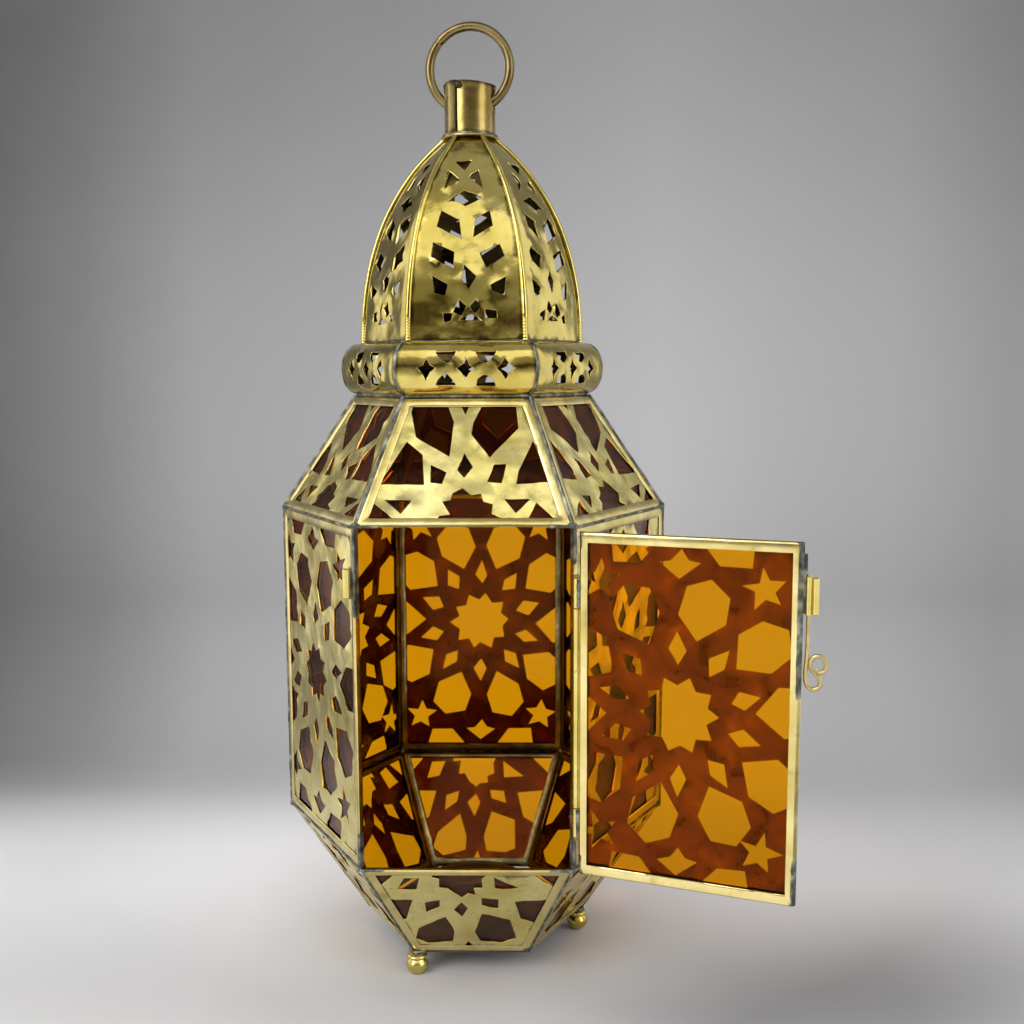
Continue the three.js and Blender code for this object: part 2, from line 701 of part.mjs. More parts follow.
function candleCup() {
  const { radius, wall, height, flare } = CUP;
  const profile = [
    [0, 0], [radius, 0], [radius + flare, height], [radius + flare - wall, height],
    [radius - wall, wall], [0, wall],
  ].map(([x, y]) => new THREE.Vector2(x, y));
  const cup = mesh('candle_cup', new THREE.LatheGeometry(profile, 28).rotateX(Math.PI / 2), AGED_BRASS);
  cup.position.z = PLATE + FIT;
  return cup;
}

// ---- assembly ---------------------------------------------------------------------------------

const STAR_DROP = 0.7; // how far the lower star's centre sits under the panel's upper edge
const TAPER_STAR = Math.hypot(apothem(WAIST) - apothem(BASE), WAIST.z - BASE.z) - STAR_DROP;
const SHOULDER_STAR = 0.8;

const lantern = new THREE.Group();
lantern.add(hangRing());
lantern.add(neckTube());
lantern.add(...domePetals());
lantern.add(domeRibs());
lantern.add(collarBand());
const shoulderBars = frameBand(ALL_SIDES, SHOULDER, THROAT, SHOULDER.z + BAND_GAP, THROAT.z + 1);
lantern.add(mesh('shoulder_frame', geometryOf(shoulderBars), SOLDERED_BRASS));
lantern.add(...panels('shoulder', ALL_SIDES, SHOULDER, THROAT, SHOULDER_STAR));
lantern.add(bodyFrame());
lantern.add(...panels('body', FIXED_SIDES, WAIST, SHOULDER, BODY_CENTRE));
lantern.add(hingePin());
lantern.add(latchKeeper());
lantern.add(door());
const lowerBars = frameBand(ALL_SIDES, BASE, WAIST, PLATE + FIT, WAIST.z - BAND_GAP);
lantern.add(mesh('lower_frame', geometryOf(lowerBars), SOLDERED_BRASS));
lantern.add(...panels('lower', ALL_SIDES, BASE, WAIST, TAPER_STAR));
lantern.add(basePlate());
lantern.add(...feet());
lantern.add(candleCup());

export default lantern;
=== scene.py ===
"""The looks of a hexagonal Moroccan candle lantern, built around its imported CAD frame.

Lengths in the tables below are millimetres; everything that reaches Blender is in metres.
A side is numbered 1 to 6 anticlockwise seen from above, and side 1 is the door side, facing -Y.
"""

import json
import math
import random

import bpy
import numpy as np
from mathutils import Matrix, Vector, noise
from mathutils.geometry import delaunay_2d_cdt


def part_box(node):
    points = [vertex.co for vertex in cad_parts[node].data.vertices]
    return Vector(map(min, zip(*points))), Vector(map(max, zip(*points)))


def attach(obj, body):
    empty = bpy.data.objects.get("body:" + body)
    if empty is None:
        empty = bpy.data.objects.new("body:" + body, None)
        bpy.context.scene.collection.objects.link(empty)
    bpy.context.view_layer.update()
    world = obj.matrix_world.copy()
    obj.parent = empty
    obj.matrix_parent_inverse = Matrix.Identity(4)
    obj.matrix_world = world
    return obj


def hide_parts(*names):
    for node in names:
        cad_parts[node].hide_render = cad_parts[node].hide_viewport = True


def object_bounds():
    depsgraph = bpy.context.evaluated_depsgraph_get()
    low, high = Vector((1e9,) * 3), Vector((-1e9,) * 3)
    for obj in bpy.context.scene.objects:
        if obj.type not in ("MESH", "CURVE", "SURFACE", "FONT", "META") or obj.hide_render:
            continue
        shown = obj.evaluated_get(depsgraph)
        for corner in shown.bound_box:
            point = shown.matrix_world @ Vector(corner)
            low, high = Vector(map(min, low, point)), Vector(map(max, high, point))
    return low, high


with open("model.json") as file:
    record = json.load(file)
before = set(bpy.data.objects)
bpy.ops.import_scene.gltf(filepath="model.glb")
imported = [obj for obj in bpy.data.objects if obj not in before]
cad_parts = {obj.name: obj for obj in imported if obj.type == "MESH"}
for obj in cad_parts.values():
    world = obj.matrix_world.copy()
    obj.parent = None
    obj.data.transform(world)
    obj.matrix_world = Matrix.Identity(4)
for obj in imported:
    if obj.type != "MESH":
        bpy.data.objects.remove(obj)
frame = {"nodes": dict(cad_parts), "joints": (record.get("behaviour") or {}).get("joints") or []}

CAD_BOX = [list(corner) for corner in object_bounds()]

MM = 0.001
SIDES = 6
ALL_SIDES = range(1, SIDES + 1)
FIXED_SIDES = range(2, SIDES + 1)
TAN30 = math.tan(math.pi / SIDES)
COS30 = math.cos(math.pi / SIDES)


# ---- what the frame says ------------------------------------------------------------------------

def node_points(node):
    """Vertices of a CAD node, in millimetres."""
    return np.array([v.co for v in frame["nodes"][node].data.vertices], float) / MM


def box_mm(node):
    low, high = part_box(node)
    return np.array(low) / MM, np.array(high) / MM


def hexagon_level(node, top):
    """(corner radius, height) of the hexagon at the top or bottom of a frame node."""
    points = node_points(node)
    z = points[:, 2].max() if top else points[:, 2].min()
    rim = points[abs(points[:, 2] - z) < 0.3]
    return float(np.hypot(rim[:, 0], rim[:, 1]).max()), float(z)


def joint(name):
    return next(j for j in frame["joints"] if j["name"] == name)


def side_angle(side):
    return -math.pi / 2 + (side - 1) * math.tau / SIDES


def seam_angle(side):
    """Direction of the corner between a side and the next one."""
    return side_angle(side) + math.pi / SIDES


def polar(radius, angle, z=0.0):
    return np.array([radius * math.cos(angle), radius * math.sin(angle), z])


HINGE = np.array(joint("door_hinge")["pos_m"]) / MM
DOOR_REST = math.radians(-joint("door_hinge")["range_deg"][0])
RING_AXIS = np.array(joint("ring_swing")["axis"])
RING_AXIS_Z = joint("ring_swing")["pos_m"][2] / MM
LATCH = np.array(joint("latch_turn")["pos_m"]) / MM

LOWER = (hexagon_level("lower_frame", False), hexagon_level("lower_frame", True))
BODY = (hexagon_level("body_frame", False), hexagon_level("body_frame", True))
SHOULDER = (hexagon_level("shoulder_frame", False), hexagon_level("shoulder_frame", True))

# Depths behind a panel's outer face, read from side 4, whose normal is +Y.
PANEL_FACE = box_mm("body_frame")[1][1]
SHEET_FRONT = PANEL_FACE - box_mm("body_fretwork_4")[1][1]
SHEET_BACK = PANEL_FACE - box_mm("body_fretwork_4")[0][1]
GLASS_BACK = PANEL_FACE - box_mm("body_glass_4")[0][1]
CAME_CHEEK = 0.4
CAME_DEPTH = GLASS_BACK + CAME_CHEEK
CAME_WIDTH = 3.7
SHEET_INSET = BODY[0][0] / 2 - box_mm("body_fretwork_4")[1][0]


# ---- meshes -------------------------------------------------------------------------------------

def mark_sharp(mesh, limit):
    """Smooth shading with edges sharper than the limit kept crisp."""
    mesh.polygons.foreach_set("use_smooth", [True] * len(mesh.polygons))
    mesh.set_sharp_from_angle(angle=math.radians(limit))


def make_piece(name, points, faces, material, body, stands_for=(), sharp=38):
    """A mesh piece from millimetre points, riding on a CAD body."""
    mesh = bpy.data.meshes.new(name)
    mesh.from_pydata((np.asarray(points, float) * MM).tolist(), [], faces)
    mesh.validate()
    mesh.update()
    mark_sharp(mesh, sharp)
    piece = bpy.data.objects.new(name, mesh)
    bpy.context.scene.collection.objects.link(piece)
    piece.data.materials.append(material)
    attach(piece, body)
    if stands_for:
        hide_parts(*stands_for)
    return piece


def point_attribute(piece, name, values):
    attribute = piece.data.attributes.new(name, "FLOAT", "POINT")
    attribute.data.foreach_set("value", np.asarray(values, np.float32))


def grid_faces(rows, columns, wrap_rows, wrap_columns):
    """Quads over a grid of rows of points, closed in either direction on request."""
    faces = []
    for i in range(rows if wrap_rows else rows - 1):
        for j in range(columns if wrap_columns else columns - 1):
            a = i * columns + j
            b = i * columns + (j + 1) % columns
            c = ((i + 1) % rows) * columns + (j + 1) % columns
            d = ((i + 1) % rows) * columns + j
            faces.append((a, b, c, d))
    return faces


def rough(point, size, amount, seed=0.0):
    """Smooth noise at a point, with features of about the given size, in millimetres."""
    return amount * noise.noise(Vector(point) / size + Vector((seed, 3.1 * seed, 7.7)))


def frames_along(path):
    """A side and an up vector at each point of a path, turning as little as possible."""
    path = np.asarray(path, float)
    tangents = np.gradient(path, axis=0)
    tangents /= np.linalg.norm(tangents, axis=1)[:, None]
    start = np.array([0.0, 0.0, 1.0]) if abs(tangents[0][2]) < 0.9 else np.array([0.0, 1.0, 0.0])
    side = np.cross(tangents[0], start)
    side /= np.linalg.norm(side)
    sides, ups = [], []
    for tangent in tangents:
        side = side - (side @ tangent) * tangent
        side /= np.linalg.norm(side)
        sides.append(side)
        ups.append(np.cross(side, tangent))
    return np.array(sides), np.array(ups)


def sweep_points(path, radii, count, closed=False, lump=0.0, size=4.0, seed=0.0):
    """A round bar along a path: its points and faces, with end caps unless it is closed."""
    path = np.asarray(path, float)
    radii = np.broadcast_to(radii, len(path))
    sides, ups = frames_along(path)
    points = []
    for centre, radius, side, up in zip(path, radii, sides, ups):
        for k in range(count):
            angle = k * math.tau / count
            out = math.cos(angle) * side + math.sin(angle) * up
            reach = radius
            if lump:
                reach += rough(centre + out * radius, size, lump, seed)
            points.append(centre + out * reach)
    faces = grid_faces(len(path), count, closed, True)
    if not closed:
        faces.append(tuple(reversed(range(count))))
        faces.append(tuple(range((len(path) - 1) * count, len(path) * count)))
    return points, [tuple(reversed(face)) for face in faces]


def bar(name, path, radii, material, body, stands_for=(), count=12, **shape):
    points, faces = sweep_points(path, radii, count, **shape)
    return make_piece(name, points, faces, material, body, stands_for, sharp=60)


def join_parts(parts):
    """Several (points, faces) lists as one."""
    points, faces = [], []
    for more_points, more_faces in parts:
        start = len(points)
        points += list(more_points)
        faces += [tuple(start + i for i in face) for face in more_faces]
    return points, faces


def upright(centre, z):
    """The point at a height above or below a centre."""
    return np.array([centre[0], centre[1], z])


def lathe_points(profile, centre, count, closed_profile=False):
    """A profile of (radius, z) turned about the vertical through a centre."""
    points = []
    for k in range(count):
        angle = k * math.tau / count
        for radius, z in profile:
            points.append(polar(radius, angle, z) + upright(centre, 0))
    faces = grid_faces(count, len(profile), True, closed_profile)
    return points, faces


def fillet_profile(corners, steps=4):
    """Rounds the inner corners of a profile given as (x, y, radius)."""
    rounded = []
    for i, (x, y, radius) in enumerate(corners):
        here = np.array([x, y], float)
        if radius <= 0 or i in (0, len(corners) - 1):
            rounded.append(here)
            continue
        before = np.array(corners[i - 1][:2], float) - here
        after = np.array(corners[i + 1][:2], float) - here
        start = here + before / np.linalg.norm(before) * radius
        end = here + after / np.linalg.norm(after) * radius
        for step in range(steps + 1):
            t = step / steps
            rounded.append((1 - t) ** 2 * start + 2 * t * (1 - t) * here + t * t * end)
    return rounded


# ---- flat outlines ------------------------------------------------------------------------------

def cross2(a, b):
    return a[0] * b[1] - a[1] * b[0]


def crossing(a, b, c, d):
    """Where the line through a and b meets the line through c and d."""
    along, other = b - a, d - c
    return a + along * (cross2(c - a, other) / cross2(along, other))


def inset(outline, distance):
    """A convex anticlockwise outline with every edge moved inwards."""
    count = len(outline)
    edges = []
    for i in range(count):
        a, b = outline[i], outline[(i + 1) % count]
        along = (b - a) / np.linalg.norm(b - a)
        shift = np.array([-along[1], along[0]]) * distance
        edges.append((a + shift, b + shift))
    return np.array([crossing(*edges[i - 1], *edges[i]) for i in range(count)])


def clip(outline, window):
    """The part of an outline inside a convex anticlockwise window."""
    kept = [np.asarray(p, float) for p in outline]
    for i in range(len(window)):
        a, b = window[i], window[(i + 1) % len(window)]
        inside = [cross2(b - a, p - a) >= 0 for p in kept]
        after = []
        for j, point in enumerate(kept):
            if inside[j] != inside[j - 1]:
                after.append(crossing(a, b, kept[j - 1], point))
            if inside[j]:
                after.append(point)
        kept = after
        if len(kept) < 3:
            return []
    return kept


def area(outline):
    x, y = np.asarray(outline).T
    return 0.5 * float(np.sum(x * np.roll(y, -1) - np.roll(x, -1) * y))


def anticlockwise(outline):
    return outline if area(outline) > 0 else outline[::-1]


def split_edges(outline, spacing):
    """An outline with long edges divided."""
    points = []
    count = len(outline)
    for i in range(count):
        a, b = np.asarray(outline[i]), np.asarray(outline[(i + 1) % count])
        parts = max(1, round(float(np.linalg.norm(b - a)) / spacing))
        points += [a + (b - a) * k / parts for k in range(parts)]
    return np.array(points)


def inside_outline(points, outline):
    x, y = points[:, 0], points[:, 1]
    result = np.zeros(len(points), bool)
    for a, b in zip(outline, np.roll(outline, -1, axis=0)):
        spans = (a[1] > y) != (b[1] > y)
        if abs(b[1] - a[1]) > 1e-12:
            meets = (b[0] - a[0]) * (y - a[1]) / (b[1] - a[1]) + a[0]
            result ^= spans & (x < meets)
    return result


def distance_to_outline(points, outline):
    best = np.full(len(points), np.inf)
    for a, b in zip(outline, np.roll(outline, -1, axis=0)):
        along = b - a
        t = np.clip(((points - a) @ along) / max(along @ along, 1e-12), 0, 1)
        best = np.minimum(best, np.linalg.norm(points - a - t[:, None] * along, axis=1))
    return best


# How much painted shade darkens the hidden inner side of a sheet, 0 to 1; the door's gets a little less.
BACK_SHADE = 1.0
DOOR_BACK_SHADE = 0.88


CLEAR_OF_RIM = 0.45  # how near a rim an inner point may lie, as a share of the spacing


def triangulated(loops, spacing, luck):
    """Fine triangles inside the first loop and outside the others.

    Returns the points, the loop point that each one stands for (or the number of loop points, for an
    inner point), that number, and the triangles.
    """
    low, high = loops[0].min(0), loops[0].max(0)
    columns = np.arange(low[0] + spacing / 2, high[0], spacing)
    rows = np.arange(low[1] + spacing / 2, high[1], spacing)
    filling = np.array([
        (x + luck.uniform(-0.2, 0.2) * spacing, y + luck.uniform(-0.2, 0.2) * spacing)
        for y in rows for x in columns
    ])
    keep = inside_outline(filling, loops[0])
    for index, loop in enumerate(loops):
        if index:
            keep &= ~inside_outline(filling, loop)
        keep &= distance_to_outline(filling, loop) > CLEAR_OF_RIM * spacing
    flat = np.vstack(loops + [filling[keep]])
    edges, rim = [], 0
    for loop in loops:
        edges += [(rim + i, rim + (i + 1) % len(loop)) for i in range(len(loop))]
        rim += len(loop)
    result = delaunay_2d_cdt([Vector(p) for p in flat], edges, [], 0, 1e-7)
    flat = np.array([tuple(p) for p in result[0]])
    origin = [min(ids) if ids else rim for ids in result[3]]
    triangles = np.array([t for t in result[2] if len(t) == 3])
    middles = flat[triangles].mean(axis=1)
    solid = inside_outline(middles, loops[0])
    for loop in loops[1:]:
        solid &= ~inside_outline(middles, loop)
    return flat, origin, rim, triangles[solid]


def pierced_sheet(name, outline, cuts, place, material, body, stands_for=(), thickness=0.7,
                  spacing=4.0, burr=0.12, chamfer=0.1, darkening_reach=3.0, back_shade=BACK_SHADE, seed=1):
    """A sheet with cuts, meshed finely enough to bend. place(x, y, depth) puts it in space."""
    luck = random.Random(seed)
    loops = [split_edges(outline, spacing)] + [split_edges(cut, spacing * 0.75) for cut in cuts]
    flat, origin, rim, triangles = triangulated(loops, spacing, luck)
    used = np.unique(triangles)
    renumber = {old: new for new, old in enumerate(used)}
    triangles = [tuple(renumber[i] for i in t) for t in triangles.tolist()]
    count = len(used)
    front, back = [], []
    for old in used:
        x, y = flat[old]
        lift = 0.0
        if len(loops[0]) <= origin[old] < rim:
            lift = burr * max(0.0, luck.gauss(0.3, 0.9))
        front.append(place(x, y, -lift))
        back.append(place(x, y, thickness))
    faces = []
    directed = set()
    for a, b, c in triangles:
        if cross2(flat[used[b]] - flat[used[a]], flat[used[c]] - flat[used[a]]) < 0:
            b, c = c, b
        faces.append((a, b, c))
        faces.append((count + a, count + c, count + b))
        directed.update(((a, b), (b, c), (c, a)))
    for a, b in directed:
        if (b, a) not in directed:
            faces.append((b, a, count + a, count + b))
    piece = make_piece(name, front + back, faces, material, body, stands_for, sharp=40)
    # Darker towards the rim, and painted shade over the whole inner side.
    to_rim = distance_to_outline(flat[used], loops[0])
    darkening = np.clip(1 - to_rim / darkening_reach, 0, 1)
    point_attribute(piece, "grime_and_shade", np.concatenate([darkening, np.maximum(darkening, back_shade)]))
    rounding = piece.modifiers.new("worn_edges", "BEVEL")
    rounding.width = chamfer * MM
    rounding.segments = 1
    rounding.limit_method = "ANGLE"
    rounding.angle_limit = math.radians(50)
    rounding.use_clamp_overlap = False
    return piece


# ---- star pattern -------------------------------------------------------------------------------

STAR_POINTS = 10
STAR = {"tip": 13.1, "notch": 9.9}
KITE = [(17.2, 0), (21.6, -3.1), (28.0, 0), (21.8, 3.1)]
PETAL = [(25.2, 0), (33.4, -8.1), (42.3, -7.4), (46.6, 0), (42.3, 7.4), (33.4, 8.1)]
CORNER_STAR = {"x": 27.2, "y": 43.6, "tip": 7.2, "notch": 3.1}
ARROW = [(-6.6, 0.4), (-2.6, 1.3), (0, 4.6), (2.6, 1.3), (6.6, 0.4), (0.3, -4.9)]
ARROW_Y = 50.6
EDGE_CUT = [(13.2, 50.4), (22.6, 50.2), (24.0, 58), (7.2, 58)]
SMALLEST_CUT = 2.5
HAND_SHAKE = 0.28


def on_ray(pairs, angle, centre):
    along = np.array([math.sin(angle), math.cos(angle)])
    across = np.array([-along[1], along[0]])
    return [centre + along * far + across * off for far, off in pairs]


def star_outline(points, tip, notch, centre, turn):
    outline = []
    for i in range(2 * points):
        angle = turn - i * math.pi / points
        outline += on_ray([(notch if i % 2 else tip, 0)], angle, centre)
    return outline


def star_cuts(window, centre, seed, turn=0.0, star_turn=0.0, star_size=1.0, sway=2.2):
    """Hand-cut ten-point pattern: a star, its ring of kites and petals, and the small corner stars."""
    luck = random.Random(seed)
    step = math.tau / STAR_POINTS
    centre = np.array(centre, float)
    size = [star_size * STAR["tip"], star_size * STAR["notch"]]
    raw = [star_outline(STAR_POINTS, *size, centre, step / 2 + math.radians(star_turn))]
    for i in range(STAR_POINTS):
        angle = i * step + math.radians(turn + luck.gauss(0, sway))
        raw.append(on_ray(KITE, angle, centre))
        angle = (i + 0.5) * step + math.radians(turn + luck.gauss(0, sway))
        raw.append(on_ray(PETAL, angle, centre))
    for up in (-1, 1):
        raw.append([centre + np.array([x, up * ARROW_Y + y]) for x, y in ARROW[::-1]])
        for right in (-1, 1):
            place = centre + np.array([right * CORNER_STAR["x"], up * CORNER_STAR["y"]])
            spin = math.radians(luck.uniform(-20, 20))
            raw.append(star_outline(5, CORNER_STAR["tip"], CORNER_STAR["notch"], place, spin))
            edge = [centre + np.array([right * x, up * y]) for x, y in EDGE_CUT]
            raw.append(anticlockwise(edge))
    cuts = []
    for outline in raw:
        shaken = [p + np.array([luck.gauss(0, HAND_SHAKE), luck.gauss(0, HAND_SHAKE)]) for p in outline]
        cut = clip(shaken, window)
        if len(cut) > 2 and abs(area(cut)) > SMALLEST_CUT:
            cuts.append(anticlockwise(np.array(cut)))
    return cuts


# ---- panels -------------------------------------------------------------------------------------

class Panel:
    """The outer face of one side between two hexagon levels: x along, y up the slope, z outwards."""

    def __init__(self, side, low, high):
        (low_radius, low_z), (high_radius, high_z) = low, high
        outward = polar(1, side_angle(side))
        self.side = side
        self.along = np.array([-outward[1], outward[0], 0])
        self.origin = outward * low_radius * COS30 + np.array([0, 0, low_z])
        top = outward * high_radius * COS30 + np.array([0, 0, high_z])
        self.height = float(np.linalg.norm(top - self.origin))
        self.up = (top - self.origin) / self.height
        self.normal = np.cross(self.along, self.up)
        self.outline = np.array([
            (-low_radius / 2, 0), (low_radius / 2, 0),
            (high_radius / 2, self.height), (-high_radius / 2, self.height),
        ])

    def place(self, x, y, depth=0.0):
        return self.origin + self.along * x + self.up * y - self.normal * depth

    def turned(self, centre, angle):
        """The same panel after a turn about a vertical axis."""
        c, s = math.cos(angle), math.sin(angle)
        turn = np.array([[c, -s, 0], [s, c, 0], [0, 0, 1]])
        base = np.array([centre[0], centre[1], 0])
        self.origin = base + turn @ (self.origin - base)
        self.along, self.up, self.normal = turn @ self.along, turn @ self.up, turn @ self.normal
        return self


# Cross-section of the folded channel as (inwards from the panel's edge, depth, darkening).
# The darkening is painted shade along the rolled edges, in the groove and on the inner faces.
GROOVE = SHEET_INSET - 0.15
# Painted shade on the channel's inner faces, inside the lantern.
INNER_SHADE = 0.85
LEVEL_GAP = 0.12  # kept clear of the level where two bands meet
DOOR_MITRE_GAP = 0.45
CAME_PROFILE = [
    (0.05, 1.2, 0.6), (0.07, 0.75, 0.6), (0.25, 0.4, 0.35), (0.75, 0.12, 0), (1.45, 0.0, 0),
    (2.25, 0.02, 0), (2.9, 0.1, 0), (3.35, 0.2, 0), (3.62, 0.32, 0.1), (CAME_WIDTH, 0.42, 0.5),
    (3.62, SHEET_FRONT - 0.01, 1), (GROOVE, SHEET_FRONT, 1), (GROOVE, GLASS_BACK + 0.04, 1),
    (3.62, GLASS_BACK + 0.04, 1), (CAME_WIDTH, GLASS_BACK + 0.12, 1),
    (3.62, CAME_DEPTH - 0.14, INNER_SHADE), (3.1, CAME_DEPTH - 0.03, INNER_SHADE),
    (2.2, CAME_DEPTH, INNER_SHADE), (1.0, CAME_DEPTH - 0.02, INNER_SHADE),
    (0.4, CAME_DEPTH - 0.18, INNER_SHADE), (0.1, 1.8, 0.7),
]
CAME_SPACING = 3.5


def corner_stain(outline, x, y, reach=4.5):
    """How much solder has spread over the channel near a panel's corners, 0 to 1."""
    nearest = min(math.hypot(x - cx, y - cy) for cx, cy in outline)
    return max(0.0, 1.0 - nearest / reach)


def came_piece(name, panel, outline, body, stands_for=(), stain=corner_stain, seed=0.0, inner_shade=1.0,
               mitre_gap=0.0):
    """The folded brass channel round a panel, mitred to its neighbours, with small dents."""
    low_z, high_z = panel.origin[2], panel.origin[2] + panel.up[2] * panel.height
    counts = [max(2, round(float(np.linalg.norm(b - a)) / CAME_SPACING))
              for a, b in zip(outline, np.roll(outline, -1, axis=0))]
    points, solder, grime_and_shade = [], [], []
    for inwards, depth, darkening in CAME_PROFILE:
        corners = inset(outline, inwards)
        for i, count in enumerate(counts):
            a, b = corners[i], corners[(i + 1) % len(corners)]
            for k in range(count):
                x, y = a + (b - a) * k / count
                dent = abs(rough((x, y, panel.side * 9), 6.0, 0.13, seed))
                solder.append(stain(outline, x, y))
                if panel.up[2] > 0.999:
                    mitre = panel.outline[1][0] - mitre_gap - (depth + dent) * TAN30
                    x = max(-mitre, min(mitre, x))
                point = panel.place(x, y, depth + dent)
                point[2] = max(low_z + LEVEL_GAP, min(high_z - LEVEL_GAP, point[2]))
                points.append(point)
                # Painted shade on the inner faces, less of it where they face the light, as on the open door.
                grime_and_shade.append(darkening * (inner_shade if depth > GLASS_BACK + 0.1 else 1.0))
    faces = [tuple(reversed(f)) for f in grid_faces(len(CAME_PROFILE), sum(counts), True, True)]
    piece = make_piece(name, points, faces, MATERIALS["came"], body, stands_for, sharp=48)
    point_attribute(piece, "solder", solder)
    point_attribute(piece, "grime_and_shade", grime_and_shade)
    return piece


def edge_stain(edge, spans, reach=2.1):
    """Solder run down an upright edge (-1 left, 1 right), over spans given as shares of its height."""
    def amount(outline, x, y):
        here = corner_stain(outline, x, y)
        edge_x = outline[:, 0].max() if edge > 0 else outline[:, 0].min()
        share = (y - outline[:, 1].min()) / np.ptp(outline[:, 1])
        across = max(0.0, min(1.0, 1.5 * (1.25 - abs(x - edge_x) / reach)))
        for start, end in spans:
            inside = min((share - start) / 0.04, (end - share) / 0.04, 1.0)
            here = max(here, max(0.0, inside) * across)
        return here
    return amount


def panel_sheet(name, panel, outline, cuts, body, stands_for, seed, back_shade=BACK_SHADE):
    def place(x, y, depth):
        wave = abs(rough((x, y, seed * 5.0), 24.0, 0.24))
        return panel.place(x, y, SHEET_FRONT + 0.03 + wave + depth)

    return pierced_sheet(
        name, inset(outline, SHEET_INSET), cuts, place, MATERIALS["sheet"], body, stands_for,
        thickness=SHEET_BACK - SHEET_FRONT - 0.1, burr=0.26, chamfer=0.06, back_shade=back_shade, seed=seed,
    )


# ---- node material helpers ----------------------------------------------------------------------

class Nodes:
    """A short way to write the node tree of a material or a world."""

    def __init__(self, owner, kind="Material"):
        owner.use_nodes = True
        self.owner = owner
        self.tree = owner.node_tree
        self.tree.nodes.clear()
        self.output = self.tree.nodes.new("ShaderNodeOutput" + kind)

    def add(self, kind, inputs=None, **settings):
        node = self.tree.nodes.new("ShaderNode" + kind)
        for key, value in settings.items():
            setattr(node, key, value)
        for key, value in (inputs or {}).items():
            self.feed(node.inputs[key], value)
        return node

    def feed(self, socket, value):
        if isinstance(value, bpy.types.NodeSocket):
            self.tree.links.new(value, socket)
        elif isinstance(value, (tuple, list)) and len(value) == 3 and len(socket.default_value) == 4:
            socket.default_value = (*value, 1.0)
        else:
            socket.default_value = value

    def math(self, operation, a, b=0.0, clamp=False):
        return self.add("Math", {0: a, 1: b}, operation=operation, use_clamp=clamp).outputs[0]

    def times(self, a, b):
        return self.math("MULTIPLY", a, b)

    def swing(self, value, amount):
        """A value about 0.5 made to swing either side of zero."""
        return self.times(self.math("SUBTRACT", value, 0.5), amount)

    def remap(self, value, low, high, to_low=0.0, to_high=1.0, smooth=False):
        """A value carried from one range to another, and held at its ends."""
        inputs = {0: value, 1: low, 2: high, 3: to_low, 4: to_high}
        easing = "SMOOTHSTEP" if smooth else "LINEAR"
        return self.add("MapRange", inputs, interpolation_type=easing).outputs[0]

    def blend(self, share, a, b):
        return self.add("MixShader", {0: share, 1: a, 2: b}).outputs[0]

    def noise(self, coords, scale, detail=3.0, roughness=0.55, distortion=0.0):
        return self.add("TexNoise", {
            "Vector": coords, "Scale": scale, "Detail": detail, "Roughness": roughness,
            "Distortion": distortion,
        }).outputs["Fac"]

    def ramp(self, value, stops):
        node = self.add("ValToRGB", {"Fac": value})
        elements = node.color_ramp.elements
        for i, (position, colour) in enumerate(stops):
            element = elements[i] if i < 2 else elements.new(position)
            element.position = position
            grey = isinstance(colour, (int, float))
            element.color = (colour, colour, colour, 1) if grey else (*colour, 1)
        return node.outputs["Color"]

    def scaled_ramp(self, value, stops):
        """A ramp whose stops are in the value's own units."""
        low, high = stops[0][0], stops[-1][0]
        shares = [((at - low) / (high - low), colour) for at, colour in stops]
        return self.ramp(self.remap(value, low, high), shares)

    def mix(self, share, a, b, blend_type="MIX"):
        node = self.add("Mix", data_type="RGBA", blend_type=blend_type)
        self.feed(node.inputs[0], share)
        self.feed(node.inputs[6], a)
        self.feed(node.inputs[7], b)
        return node.outputs[2]

    def stretched(self, coords, scale):
        return self.add("Mapping", {"Vector": coords, "Scale": scale}).outputs["Vector"]

    def bump(self, height, strength, distance, normal=None):
        inputs = {"Height": height, "Strength": strength, "Distance": distance}
        if normal is not None:
            inputs["Normal"] = normal
        return self.add("Bump", inputs).outputs["Normal"]

    def finish(self, shader):
        self.tree.links.new(shader, self.output.inputs["Surface"])
        return self.owner


TARNISH = (0.14, 0.085, 0.03)
# Near-black tone for dark blotches, darker rims and painted shade.
GRIME_AND_SHADE = (0.032, 0.02, 0.012)


